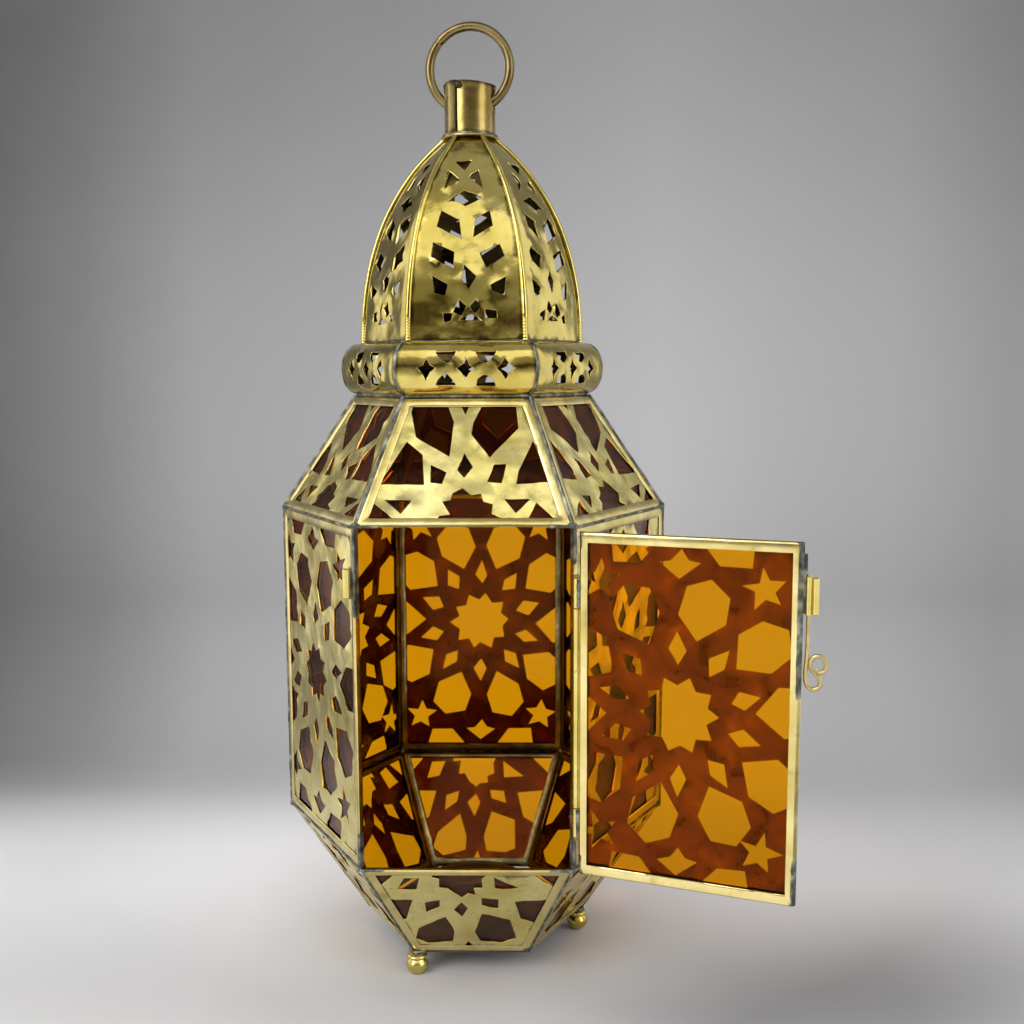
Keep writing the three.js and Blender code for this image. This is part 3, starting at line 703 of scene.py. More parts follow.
def brass(name, light, deep, roughness, wave, tarnish, soldered=False):
    """Hand-worked brass: pale and deep patches, soft dents, fine scratches, brown tarnish, dark blotches,
    darker rims, painted shade.
    """
    n = Nodes(bpy.data.materials.new(name))
    coords = n.add("TexCoord").outputs["Object"]
    patches = n.noise(coords, 38, 4, 0.6, 0.4)
    colour = n.mix(n.ramp(patches, [(0.36, 0), (0.64, 1)]), light, deep)
    blotches = n.noise(coords, 95, 6, 0.65, 0.8)
    spread = n.ramp(blotches, [(0.62 - tarnish * 0.3, 0), (0.80, 1)])
    colour = n.mix(n.times(spread, 0.75 * min(1.0, tarnish * 2)), colour, TARNISH)
    # Darkening: the point attribute (darker rims, painted shade on hidden and inner faces) plus random
    # blotches.
    darkening = n.math("ADD", n.add("Attribute", attribute_name="grime_and_shade").outputs["Fac"], n.swing(blotches, 0.9))
    colour = n.mix(n.ramp(darkening, [(0.45, 0), (0.8, 0.76), (1.0, 0.93)]), colour, GRIME_AND_SHADE)
    grain = n.noise(n.stretched(coords, (900, 900, 60)), 1.0, 3, 0.6)
    rough_value = n.math("ADD", roughness - 0.06, n.times(blotches, 0.16))
    rough_value = n.math("ADD", rough_value, n.times(grain, 0.07))
    dents = n.noise(coords, 62, 2, 0.4)
    normal = n.bump(dents, wave, 1.6 * MM)
    normal = n.bump(n.noise(coords, 420, 3, 0.5), 0.12, 0.3 * MM, normal)
    normal = n.bump(grain, 0.03, 0.1 * MM, normal)
    metal = n.add("BsdfPrincipled", {
        "Base Color": colour, "Metallic": 1.0, "Roughness": rough_value, "Normal": normal,
    }).outputs[0]
    if not soldered:
        return n.finish(metal)
    amount = n.add("Attribute", attribute_name="solder").outputs["Fac"]
    ragged = n.math("ADD", amount, n.swing(n.noise(coords, 160, 4), 0.7))
    mask = n.ramp(ragged, [(0.42, 0), (0.62, 1)])
    return n.finish(n.blend(mask, metal, solder_shader(n, coords)))


SOLDER_TONES = [(0.3, (0.02, 0.022, 0.02)), (0.5, (0.13, 0.135, 0.115)), (0.7, (0.42, 0.41, 0.34))]


def solder_shader(n, coords):
    """Dull grey-green tin, lumpy, with dark flux in its hollows."""
    lumps = n.noise(coords, 240, 4, 0.55)
    return n.add("BsdfPrincipled", {
        "Base Color": n.ramp(lumps, SOLDER_TONES), "Metallic": 0.85,
        "Roughness": n.math("ADD", 0.28, n.times(lumps, 0.25)),
        "Normal": n.bump(lumps, 0.55, 0.5 * MM),
    }).outputs[0]


def solder_material():
    n = Nodes(bpy.data.materials.new("solder"))
    return n.finish(solder_shader(n, n.add("TexCoord").outputs["Object"]))


def amber_glass():
    """Clear amber window glass that tints the light once per face, with faint waves and a little dust."""
    n = Nodes(bpy.data.materials.new("amber_glass"))
    coords = n.add("TexCoord").outputs["Object"]
    tone = n.noise(coords, 14, 2, 0.5)
    colour = n.mix(tone, (0.985, 0.665, 0.06), (0.955, 0.60, 0.045))
    normal = n.bump(n.noise(coords, 26, 2, 0.4), 0.08, 1.5 * MM)
    through = n.add("BsdfTransparent", {"Color": colour}).outputs[0]
    gloss = n.add("BsdfGlossy", {"Color": (0.85, 0.84, 0.84), "Roughness": 0.05, "Normal": normal})
    view = n.add("NewGeometry").outputs["Incoming"]
    cosine = n.add("VectorMath", {0: normal, 1: view}, operation="DOT_PRODUCT").outputs["Value"]
    slant = n.math("POWER", n.math("SUBTRACT", 1.0, n.math("ABSOLUTE", cosine), clamp=True), 3.0)
    pane = n.blend(n.math("ADD", 0.004, n.times(slant, 0.5)), through, gloss.outputs[0])
    dust = n.add("BsdfDiffuse", {"Color": (0.4, 0.28, 0.18)}).outputs[0]
    specks = n.ramp(n.noise(coords, 210, 6, 0.7), [(0.6, 0.0), (0.85, 0.02)])
    return n.finish(n.blend(specks, pane, dust))


MATERIALS = {
    "sheet": brass("brass_sheet", (0.84, 0.73, 0.31), (0.62, 0.51, 0.15), 0.20, 0.5, 0.25),
    "dome": brass("brass_dome", (0.66, 0.54, 0.17), (0.50, 0.39, 0.085), 0.10, 0.45, 0.28),
    "came": brass("brass_came", (0.80, 0.68, 0.31), (0.56, 0.44, 0.14), 0.18, 0.35, 0.32, soldered=True),
    "fittings": brass("brass_fittings", (0.80, 0.67, 0.24), (0.60, 0.47, 0.12), 0.20, 0.2, 0.3),
    "tack": brass("solder_tack", (0.06, 0.055, 0.05), (0.03, 0.028, 0.025), 0.4, 0.3, 0.4),
    "neck": brass("brass_neck", (0.42, 0.33, 0.12), (0.27, 0.19, 0.055), 0.22, 0.3, 0.4),
    "hook": brass("brass_hook", (0.62, 0.50, 0.24), (0.44, 0.34, 0.13), 0.24, 0.15, 0.4),
    "ring": brass("brass_ring", (0.26, 0.20, 0.085), (0.14, 0.10, 0.035), 0.24, 0.15, 0.5),
    "wire": brass("aged_brass", (0.46, 0.35, 0.15), (0.30, 0.21, 0.07), 0.30, 0.18, 0.45),
    "floor_sheet": brass("dark_brass", (0.22, 0.16, 0.08), (0.12, 0.08, 0.035), 0.45, 0.3, 0.6),
    "solder": solder_material(),
    "glass": amber_glass(),
}


# ---- body panels --------------------------------------------------------------------------------

def use_glass(node):
    glass = frame["nodes"][node]
    glass.data.materials.clear()
    glass.data.materials.append(MATERIALS["glass"])


def band_panels(band, sides, low, high, cuts_for):
    for side in sides:
        panel = Panel(side, low, high)
        seed = BAND_SEEDS[band] + side
        stands_for = (f"{band}_frame",) if side == sides[0] else ()
        stain = STAINS.get((band, side), corner_stain)
        came_piece(f"{band}_came_{side}", panel, panel.outline, "lantern", stands_for, stain, seed)
        cuts = cuts_for(panel, inset(panel.outline, WINDOW_INSET), seed)
        panel_sheet(f"{band}_pierced_{side}", panel, panel.outline, cuts, "lantern",
                    (f"{band}_fretwork_{side}",), seed)
        use_glass(f"{band}_glass_{side}")


WINDOW_INSET = CAME_WIDTH - 0.6  # cuts run a little way under the channel
BAND_SEEDS = {"lower": 100, "body": 200, "shoulder": 300}

# Solder over the posts beside the door, as shares of the body's height.
STAINS = {
    ("body", 6): edge_stain(1, [(0.72, 1.0), (0.0, 0.13)]),
    ("body", 2): edge_stain(-1, [(0.88, 1.0), (0.0, 0.2)]),
    ("shoulder", 2): edge_stain(-1, [(0.0, 1.0)], 1.3),
}

# How the pattern sits on each body side: centre, turn and size of the star, and turn of the rings.
HANDS = {
    2: {"centre": (1.5, 0.5), "star_turn": 7},
    3: {"centre": (-1.0, 0), "star_turn": -5},
    4: {"centre": (0.3, 0.6), "star_turn": 4, "turn": -2.0},
    5: {"centre": (-2.0, 0), "star_turn": 8, "turn": 2},
    6: {"centre": (-4.8, 0.9), "star_turn": 4, "star_size": 0.86, "turn": 1},
}

# Hand-cut layouts of the two front sheets that taper, in millimetres from the lower edge's middle.
SHOULDER_FRONT = [
    [(-19.3, 44.6), (-18.4, 48.6), (-7.1, 48.6), (-4.3, 40.3), (-5.5, 26.7), (-17.5, 34.3)],
    [(2.8, 40.3), (6.0, 48.6), (17.6, 48.2), (18.3, 37.8), (8.4, 26.9), (1.9, 35.4)],
    [(-20.3, 32.8), (-14.9, 27.8), (-14.2, 16.3), (-29.5, 16.1)],
    [(23.4, 32.9), (29.5, 17.2), (17.7, 16.4), (18.4, 21.1)],
    [(-0.4, 28.2), (2.8, 22.7), (-0.2, 18.8), (-2.9, 21.9)],
    [(-12.2, 23.7), (-6.4, 21.2), (-7.7, 16.5), (-11.9, 17.0)],
    [(9.9, 23.5), (14.1, 24.2), (12.8, 16.4), (7.8, 17.2)],
    [(-10.6, 0.5), (-8.4, 4.4), (-4.9, 5.2), (-7.5, 9.6), (-4.6, 10.4), (-4.0, 12.9), (-0.6, 14.9),
     (2.4, 12.2), (5.7, 12.6), (6.5, 10.0), (9.6, 9.0), (9.3, 5.4), (12.6, 3.6), (13.0, 0.5)],
    [(-27.5, 10.8), (-18.0, 10.4), (-21.6, 5.5)],
    [(-31.3, 9.6), (-24.0, 3.6), (-32.6, 3.2)],
    [(13.5, 10.7), (23.0, 10.7), (17.7, 5.4)],
    [(24.7, 9.5), (30.5, 3.6), (21.9, 3.2)],
    [(-2.4, 48.6), (2.1, 48.6), (-0.3, 43.5)],
]
LOWER_FRONT = [
    [(-12.4, 51.0), (-12.8, 47.0), (-9.8, 46.2), (-10.2, 40.9), (-7.0, 40.3), (-4.8, 36.9),
     (-2.4, 34.5), (-0.2, 37.1), (2.8, 36.7), (2.2, 40.3), (5.4, 40.9), (5.1, 46.0), (8.6, 51.0)],
    [(-8.8, 22.6), (-5.9, 14.0), (-6.6, 6.7), (-15.9, 5.0), (-20.6, 8.4), (-19.0, 15.0)],
    [(4.5, 24.8), (14.7, 20.6), (17.0, 8.7), (11.4, 5.7), (3.4, 6.7), (1.7, 12.9)],
    [(-2.4, 32.0), (-0.2, 27.9), (-2.6, 22.2), (-5.4, 27.8)],
    [(-15.8, 31.9), (-10.5, 33.4), (-10.9, 28.9), (-15.7, 25.3)],
    [(4.8, 34.5), (10.7, 33.7), (10.6, 27.9), (4.7, 30.0)],
    [(-22.4, 46.6), (-17.1, 46.6), (-18.6, 39.7), (-25.4, 39.5)],
    [(9.7, 47.0), (18.2, 40.4), (9.8, 40.0)],
    [(-30.4, 33.3), (-20.3, 32.9), (-23.4, 21.4), (-27.6, 18.5)],
    [(16.6, 32.1), (30.0, 33.8), (24.9, 18.3), (18.9, 21.7)],
    [(-34.6, 49.5), (-25.0, 49.5), (-32.2, 40.0)],
    [(22.0, 49.5), (34.0, 49.5), (30.8, 40.7)],
    [(-1.0, 6.4), (1.2, 2.0), (-3.4, 2.0)],
]


def drawn_cuts(layout, window, seed, shake):
    """A hand-cut layout, shaken a little and trimmed to the window."""
    luck = random.Random(seed)
    cuts = []
    for outline in layout:
        shaken = [np.array([x + luck.gauss(0, shake), y + luck.gauss(0, shake)]) for x, y in outline]
        cut = clip(anticlockwise(shaken), window)
        if len(cut) > 2 and area(cut) > SMALLEST_CUT:
            cuts.append(np.array(cut))
    return cuts


# How far a cut's corners stray from the layout on the front side, and on the others.
FRONT_SHAKE = 0.12
OTHER_SHAKE = 0.5


def tapered_cuts(layout):
    """Cuts of a tapered band: its front layout, mirrored on every other side."""
    def cuts_for(panel, window, seed):
        flip = -1 if panel.side % 2 == 0 else 1
        shake = FRONT_SHAKE if panel.side == 1 else OTHER_SHAKE
        return drawn_cuts([[(flip * x, y) for x, y in cut] for cut in layout], window, seed, shake)
    return cuts_for


def body_cuts(panel, window, seed):
    hand = dict(HANDS[panel.side])
    x, y = hand.pop("centre")
    return star_cuts(window, (x, panel.height / 2 + y), seed, **hand)


def build_bands():
    band_panels("lower", ALL_SIDES, *LOWER, tapered_cuts(LOWER_FRONT))
    band_panels("body", FIXED_SIDES, *BODY, body_cuts)
    band_panels("shoulder", ALL_SIDES, *SHOULDER, tapered_cuts(SHOULDER_FRONT))


DOOR_SEED = 412
DOOR_GAP = 0.35  # between each upright edge of the door and its corner


def build_door():
    low, high = box_mm("door_frame")
    panel = Panel(1, BODY[0], BODY[1]).turned(HINGE, DOOR_REST)
    half = BODY[0][0] / 2 - DOOR_GAP
    bottom, top = low[2] - BODY[0][1], high[2] - BODY[0][1]
    outline = np.array([(-half, bottom), (half, bottom), (half, top), (-half, top)])
    free_edge = edge_stain(-1, [(0.56, 1.0), (0.0, 0.15)])
    hung_edge = edge_stain(1, [(0.93, 1.0), (0.0, 0.08)])

    def stain(corners, x, y):
        return max(free_edge(corners, x, y), hung_edge(corners, x, y))

    # The open door's channel gets little painted shade on its inner faces.
    came_piece("door_came", panel, outline, "door", ("door_frame",), stain, 7.0,
               inner_shade=0.1, mitre_gap=DOOR_MITRE_GAP)
    centre = (2.3, (bottom + top) / 2)
    cuts = star_cuts(inset(outline, WINDOW_INSET), centre, DOOR_SEED, star_turn=2, turn=3)
    # The door's sheet gets a little less painted shade on its inner side.
    panel_sheet("door_pierced", panel, outline, cuts, "door", ("door_fretwork",), DOOR_SEED, DOOR_BACK_SHADE)
    use_glass("door_glass")


# ---- solder seams -------------------------------------------------------------------------------

DOOR_POSTS = (1, SIDES)  # the corners on either side of the doorway
SEAM_SINK = 0.45
SEAM_RADII = {"lower": 0.46, "body": 0.62, "shoulder": 0.74, "level": 0.5}
SILL_RISE = 0.4  # the solder beside the doorway keeps clear of the shut door
SILL_SOLDER = 0.11  # share of the doorway's sill and head that solder covers from each end


def seam_path(start, end, spacing=2.0):
    count = max(2, int(np.linalg.norm(end - start) / spacing))
    return [start + (end - start) * i / count for i in range(count + 1)]


def seam_radii(path, seed, base, lump):
    return [base + rough(p, 9.0, lump, seed) for p in path]


def solder_run(path, seed, base, lump, count=8, ripple=0.12, size=2.5):
    """A lumpy bead of solder along a path."""
    return sweep_points(path, seam_radii(path, seed, base, lump), count, lump=ripple, size=size)


def solder_piece(name, parts, body):
    points, faces = join_parts(parts)
    return make_piece(name, points, faces, MATERIALS["solder"], body, sharp=80)


def level_edge(radius, side, z):
    """The two ends of a side's edge of a level hexagon."""
    return polar(radius, seam_angle(side - 1), z), polar(radius, seam_angle(side), z)


def upright_seams():
    parts = []
    for band, low, high in (("lower", *LOWER), ("body", *BODY), ("shoulder", *SHOULDER)):
        for side in ALL_SIDES:
            if band == "body" and side in DOOR_POSTS:
                continue
            angle = seam_angle(side)
            start = polar(low[0] - SEAM_SINK, angle, low[1])
            end = polar(high[0] - SEAM_SINK, angle, high[1])
            parts.append(solder_run(seam_path(start, end), side, SEAM_RADII[band], 0.2))
    return parts


def level_seams(radius, z, clearance):
    """Solder round one level. Beside the doorway it keeps that far above or below the level."""
    parts = []
    for side in ALL_SIDES:
        start, end = level_edge(radius - SEAM_SINK, side, z + (clearance if side == 1 else 0.0))
        stretches = [(0.0, SILL_SOLDER), (1 - SILL_SOLDER, 1.0)] if side == 1 else [(0.0, 1.0)]
        for first, last in stretches:
            path = seam_path(start + (end - start) * first, start + (end - start) * last)
            parts.append(solder_run(path, 20 + side, SEAM_RADII["level"], 0.18, ripple=0.1))
        by_door = side in DOOR_POSTS
        blob = polar(radius - 1.5, seam_angle(side), z + (2.5 * clearance if by_door else 0.0))
        parts.append(solder_blob(blob, 1.8, side * 3.3, flat=0.4 if by_door else 1.0))
    return parts


def build_seams():
    sill = (LOWER[1][1] + BODY[0][1]) / 2
    head = (BODY[1][1] + SHOULDER[0][1]) / 2
    parts = upright_seams()
    parts += level_seams(BODY[0][0], sill, -SILL_RISE)
    parts += level_seams(BODY[1][0], head, SILL_RISE)
    solder_piece("solder_seams", parts, "lantern")


def solder_blob(centre, radius, seed, flat=1.0, count=12):
    """A lumpy ball of solder."""
    points = []
    rows = count // 2
    for i in range(1, rows):
        tilt = math.pi * i / rows
        for k in range(count):
            turn = k * math.tau / count
            out = polar(math.sin(tilt), turn, math.cos(tilt) * flat)
            reach = radius * (1 + rough(out * 3, 1.6, 0.3, seed))
            points.append(centre + out * reach)
    faces = grid_faces(rows - 1, count, False, True)
    top, bottom = len(points), len(points) + 1
    points += [centre + np.array([0, 0, radius * flat]), centre - np.array([0, 0, radius * flat])]
    last = (rows - 2) * count
    for k in range(count):
        faces.append((top, (k + 1) % count, k))
        faces.append((bottom, last + k, last + (k + 1) % count))
    return points, [tuple(reversed(face)) for face in faces]


# ---- dome ---------------------------------------------------------------------------------------

DOME_LOW, DOME_HIGH = box_mm("dome_petal_1")
DOME_APOTHEM = -DOME_LOW[1]
DOME_BOTTOM = DOME_LOW[2]
DOME_TOP_Z = DOME_HIGH[2]
DOME_CONTROLS = [(DOME_APOTHEM, 258.5), (29.6, 286.5), (8.7, DOME_TOP_Z)]


def dome_profile(count=150):
    """Dense (apothem, z) points up the middle of a petal, and the distance run at each."""
    a, b, c, d = (np.array(p) for p in [(DOME_APOTHEM, DOME_BOTTOM)] + DOME_CONTROLS)
    points = []
    for i in range(count + 1):
        t = i / count
        u = 1 - t
        points.append(u ** 3 * a + 3 * t * u * u * b + 3 * t * t * u * c + t ** 3 * d)
    points = np.array(points)
    run = np.concatenate([[0], np.cumsum(np.linalg.norm(np.diff(points, axis=0), axis=1))])
    return points, run


DOME_POINTS, DOME_RUN = dome_profile()


def along_profile(points, run, s):
    """Point and outward normal of a profile at distance s."""
    here = np.array([np.interp(s, run, points[:, k]) for k in (0, 1)])
    step = 0.6
    ahead = np.array([np.interp(min(s + step, run[-1]), run, points[:, k]) for k in (0, 1)])
    behind = np.array([np.interp(max(s - step, 0), run, points[:, k]) for k in (0, 1)])
    tangent = (ahead - behind) / np.linalg.norm(ahead - behind)
    return here, np.array([tangent[1], -tangent[0]])


PETAL_CUTS = [
    [(-4.6, 68.6), (1.5, 68.8), (-0.9, 64.0)],
    [(-7.2, 64.3), (-2.6, 59.7), (-8.1, 55.6)],
    [(3.9, 64.6), (5.9, 56.2), (0.8, 60.8)],
    [(-0.9, 55.2), (5.9, 52.1), (2.4, 50.2), (-0.6, 48.6), (-3.4, 50.3), (-7.3, 50.4)],
    [(-9.3, 47.1), (-2.4, 43.2), (-1.8, 35.8), (-10.7, 40.8)],
    [(3.0, 44.1), (8.2, 47.0), (9.3, 41.0), (2.4, 37.0)],
    [(-11.8, 34.7), (-4.4, 31.5), (-4.6, 25.1), (-12.4, 29.2)],
    [(4.7, 30.7), (11.8, 34.1), (13.6, 29.8), (7.1, 25.7)],
    [(-0.6, 26.7), (3.6, 22.4), (0.9, 18.0), (-2.0, 21.5)],
    [(-12.4, 22.9), (-6.7, 19.8), (-7.3, 15.6), (-11.3, 16.5)],
    [(14.2, 22.4), (13.5, 15.9), (9.3, 17.1), (8.4, 19.3)],
    [(-8.4, 9.7), (-4.9, 9.4), (-5.4, 7.0), (-8.0, 6.6)],
    [(-2.7, 14.6), (-0.1, 12.0), (-1.7, 8.6), (-4.6, 10.0)],
    [(3.7, 14.5), (4.9, 11.3), (2.9, 9.6), (1.0, 11.8)],
    [(6.7, 11.0), (10.6, 10.4), (10.9, 7.6), (6.6, 7.6)],
    [(-2.6, 6.9), (-0.6, 8.3), (1.8, 9.0), (3.9, 8.2), (5.4, 7.0)],
]
PETAL_GAP = 0.7
PETAL_SEED = 500


def petal_cuts(side):
    luck = random.Random(PETAL_SEED + side)
    shake = 0.1 if side == 1 else 0.35
    flip = -1 if side % 2 == 0 else 1
    cuts = []
    for cut in PETAL_CUTS:
        shaken = [(flip * x + luck.gauss(0, shake), s + luck.gauss(0, shake)) for x, s in cut]
        cuts.append(anticlockwise(np.array(shaken)))
    return cuts


def curved_outline(points, run, count, gap):
    """Flat outline of one length of a curved profile, as wide as its side less a gap each way."""
    samples = np.linspace(0, run[-1], count)
    halves = [along_profile(points, run, s)[0][0] * TAN30 - gap for s in samples]
    right = [(half, s) for half, s in zip(halves, samples)]
    left = [(-half, s) for half, s in zip(halves[::-1], samples[::-1])]
    return np.array(right + left)


EDGE_SINK = 0.45  # how far a curved sheet's long edges dip towards the seam


def curved_place(side, points, run, gap, margin, wave):
    """Bends a flat sheet round one side. wave is (spread over the sides, size, amount)."""
    along = polar(1, side_angle(side) + math.pi / 2)
    outward = polar(1, side_angle(side))
    spread, size, amount = wave

    def place(x, s, depth):
        (apothem, z), normal = along_profile(points, run, s)
        half = max(apothem * TAN30 - gap, 1.0)
        edge = max(0.0, (abs(x) - half + margin) / margin)
        sink = depth + EDGE_SINK * edge ** 2 + rough((x, s, side * spread), size, amount)
        return along * x + outward * (apothem - normal[0] * sink) + upright((0, 0), z - normal[1] * sink)

    return place


def build_dome():
    outline = curved_outline(DOME_POINTS, DOME_RUN, 34, PETAL_GAP)
    for side in ALL_SIDES:
        place = curved_place(side, DOME_POINTS, DOME_RUN, PETAL_GAP, 4.0, (17, 18.0, 0.35))
        pierced_sheet(f"dome_sheet_{side}", outline, petal_cuts(side), place, MATERIALS["dome"],
                      "lantern", (f"dome_petal_{side}",), thickness=0.6, spacing=2.6, burr=0.3,
                      darkening_reach=1.6, seed=PETAL_SEED + side)


RIB_THREAD = 8.0  # how far up from its foot a rib is ridged
THREAD_PITCH = 1.1
RIB_RADIUS = 1.05


def build_ribs():
    """A drawn wire over each seam, ridged near its foot, which runs down onto the collar, and the washer
    under the neck.
    """
    parts = []
    length = DOME_RUN[-1]
    twisted = np.arange(-1.2, RIB_THREAD, 0.27)
    plain = np.linspace(RIB_THREAD, length + 0.6, 40)
    for side in ALL_SIDES:
        path, radii = [], []
        for s in np.concatenate([twisted, plain]):
            (apothem, z), _ = along_profile(DOME_POINTS, DOME_RUN, min(max(s, 0), length))
            z += min(0, s) + max(0, s - length)
            path.append(polar(apothem / COS30 - 0.5, seam_angle(side), z))
            thread = 0.13 * math.cos(s * math.tau / THREAD_PITCH) if s < RIB_THREAD else 0.0
            radii.append(RIB_RADIUS + thread + rough((s, side * 5, 0), 6.0, 0.1))
        parts.append(sweep_points(path, radii, 12))
    points, faces = join_parts(parts)
    make_piece("dome_rib_wires", points, faces, MATERIALS["dome"], "lantern", ("dome_ribs",), sharp=60)
    top = box_mm("dome_ribs")[1][2]
    profile = [
        (6.6, top - 0.9), (10.6, top - 0.9), (10.95, top - 0.6),
        (10.8, top - 0.1), (10.2, top), (6.6, top),
    ]
    points, faces = lathe_points(profile, (0, 0), 40, closed_profile=True)
    make_piece("neck_washer", points, faces, MATERIALS["wire"], "lantern")


# ---- collar -------------------------------------------------------------------------------------

COLLAR_LOW, COLLAR_HIGH = box_mm("collar_band")
COLLAR_MIDDLE = (COLLAR_LOW[2] + COLLAR_HIGH[2]) / 2
COLLAR_RISE = (COLLAR_HIGH[2] - COLLAR_LOW[2]) / 2
COLLAR_APOTHEM = COLLAR_HIGH[1]
COLLAR_BULGE = 6.4
COLLAR_DIAMOND = [
    (3.2, 0), (1.3, 1.4), (0, 4.0), (-1.3, 1.4), (-3.2, 0), (-1.3, -1.4), (0, -4.0), (1.3, -1.4),
]
COLLAR_ARCH = [(-3.6, 6.0), (-2.7, 3.9), (-1.4, 2.6), (0, 2.2), (1.4, 2.6), (2.7, 3.9), (3.6, 6.0)]
COLLAR_PITCH = 13.9
COLLAR_SEED = 600
COLLAR_SEAM_SINK = 0.75


def collar_profile(count=60):
    """Half-round (apothem, z) points from the shoulder's top to the dome's foot."""
    points = []
    for i in range(count + 1):
        angle = -math.pi / 2 + i * math.pi / count
        squared = abs(math.cos(angle)) ** 0.85
        points.append((COLLAR_APOTHEM - COLLAR_BULGE + COLLAR_BULGE * squared,
                       COLLAR_MIDDLE + COLLAR_RISE * math.sin(angle)))
    points = np.array(points)
    run = np.concatenate([[0], np.cumsum(np.linalg.norm(np.diff(points, axis=0), axis=1))])
    return points, run


COLLAR_POINTS, COLLAR_RUN = collar_profile()


def collar_cuts(seed):
    luck = random.Random(seed)
    middle = COLLAR_RUN[-1] / 2
    drawn = [[(x + place, y) for x, y in COLLAR_DIAMOND] for place in (-COLLAR_PITCH, 0, COLLAR_PITCH)]
    for place in (-COLLAR_PITCH / 2, COLLAR_PITCH / 2):
        drawn.append([(x + place, y) for x, y in COLLAR_ARCH])
        drawn.append([(x + place, -y) for x, y in COLLAR_ARCH])
    cuts = []
    for cut in drawn:
        shaken = np.array([(x + luck.gauss(0, 0.2), y + middle + luck.gauss(0, 0.2)) for x, y in cut])
        cuts.append(anticlockwise(shaken))
    return cuts


def build_collar():
    outline = curved_outline(COLLAR_POINTS, COLLAR_RUN, 30, 0.12)
    for side in ALL_SIDES:
        place = curved_place(side, COLLAR_POINTS, COLLAR_RUN, 0.0, 2.2, (11, 14.0, 0.3))
        pierced_sheet(f"collar_length_{side}", outline, collar_cuts(COLLAR_SEED + side), place,
                      MATERIALS["dome"], "lantern", ("collar_band",) if side == 1 else (),
                      thickness=0.8, spacing=2.4, burr=0.22, seed=COLLAR_SEED + side)
    parts = []
    for side in ALL_SIDES:
        path = []
        for s in np.linspace(0, COLLAR_RUN[-1], 26):
            (apothem, z), normal = along_profile(COLLAR_POINTS, COLLAR_RUN, s)
            apothem -= COLLAR_SEAM_SINK * normal[0]
            path.append(polar(apothem / COS30, seam_angle(side), z - COLLAR_SEAM_SINK * normal[1]))
        parts.append(sweep_points(path, [0.62 + rough(p, 5, 0.15) for p in path], 8))
    foot = (COLLAR_LOW[2] + 0.2, SHOULDER[1][0] - 1.6, 1.15)
    crown = (COLLAR_HIGH[2] - 0.1, DOME_APOTHEM / COS30 - 0.4, 0.55)
    for z, radius, thickness in (foot, crown):
        for side in ALL_SIDES:
            path = seam_path(*level_edge(radius, side, z), 1.6)
            parts.append(solder_run(path, side + 40, thickness, thickness * 0.3, ripple=0.15, size=2))
    solder_piece("collar_solder", parts, "lantern")


# ---- neck and ring ------------------------------------------------------------------------------

NECK_LOW, NECK_HIGH = box_mm("neck_tube")
NECK_RADIUS = (NECK_HIGH[0] - NECK_LOW[0]) / 2
NECK_SEAM = math.radians(-142)
NECK_LAP = math.radians(24)
RING_HOLE = 3.9  # a little wider than the frame's, so that the uneven sheet clears the ring


def build_neck():
    height = NECK_HIGH[2] - NECK_LOW[2]
    girth = (math.tau + NECK_LAP) * NECK_RADIUS
    outline = np.array([(0, 0), (girth, 0), (girth, height), (0, height)])
    ring_turn = math.atan2(RING_AXIS[1], RING_AXIS[0])
    cuts = []
    for turn in (ring_turn, ring_turn + math.pi):
        x = ((turn - NECK_SEAM) % math.tau) * NECK_RADIUS
        ring = [(x + RING_HOLE * math.cos(a), RING_AXIS_Z - NECK_LOW[2] + RING_HOLE * math.sin(a))
                for a in np.linspace(0, math.tau, 20, endpoint=False)]
        cuts.append(np.array(ring))

    def place(x, y, depth):
        turn = x / NECK_RADIUS
        lap = max(0.0, (turn - math.tau + 0.12) / (NECK_LAP + 0.12))
        flare = 0.5 * max(0.0, (y - height + 2.0) / 2.0) ** 2
        radius = NECK_RADIUS - 0.15 - depth + 0.72 * min(1.0, lap * 4) + flare
        radius += rough((turn * 9, y, 4), 8.0, 0.15)
        lift = 0.35 * math.sin(turn * 2 + 1) * (y / height) ** 3
        return polar(radius, NECK_SEAM + turn, NECK_LOW[2] + y + lift)

    pierced_sheet("neck_rolled_sheet", outline, cuts, place, MATERIALS["neck"], "lantern", ("neck_tube",),
                  thickness=0.7, spacing=2.2, burr=0.1, seed=71)
    spot = polar(NECK_RADIUS + 0.1, NECK_SEAM + NECK_LAP + 0.1, NECK_HIGH[2] - 1.4)
    turns = np.linspace(0, math.tau, 60, endpoint=False)
    foot = [polar(NECK_RADIUS + 0.25, turn, NECK_LOW[2] + 0.1) for turn in turns]
    points, faces = solder_blob(spot, 1.3, 5.0)
    make_piece("neck_tack", points, faces, MATERIALS["tack"], "lantern", sharp=80)
    bead = sweep_points(foot, seam_radii(foot, 9, 0.55, 0.3), 8, closed=True)
    solder_piece("neck_solder", [bead], "lantern")


RING_WIRE = 1.7
RING_JOINT = math.radians(140)  # where the wire's two ends meet


def build_ring():
    low, high = box_mm("hang_ring")
    centre = np.array([0, 0, (low[2] + high[2]) / 2])
    radius = (high[2] - low[2]) / 2 - RING_WIRE
    along = RING_AXIS / np.linalg.norm(RING_AXIS)
    up = np.array([0, 0, 1.0])
    path, radii = [], []
    for turn in np.linspace(0, math.tau, 180, endpoint=False):
        path.append(centre + radius * (math.cos(turn) * along + math.sin(turn) * up))
        nick = 0.28 * math.exp(-(abs(turn - RING_JOINT) * radius / 0.45) ** 2)
        radii.append(RING_WIRE - nick + rough((turn * 12, 0, 2), 3.0, 0.06))
    bar("ring_wire", path, radii, MATERIALS["ring"], "ring", ("hang_ring",), count=20, closed=True)


# ---- hinge --------------------------------------------------------------------------------------

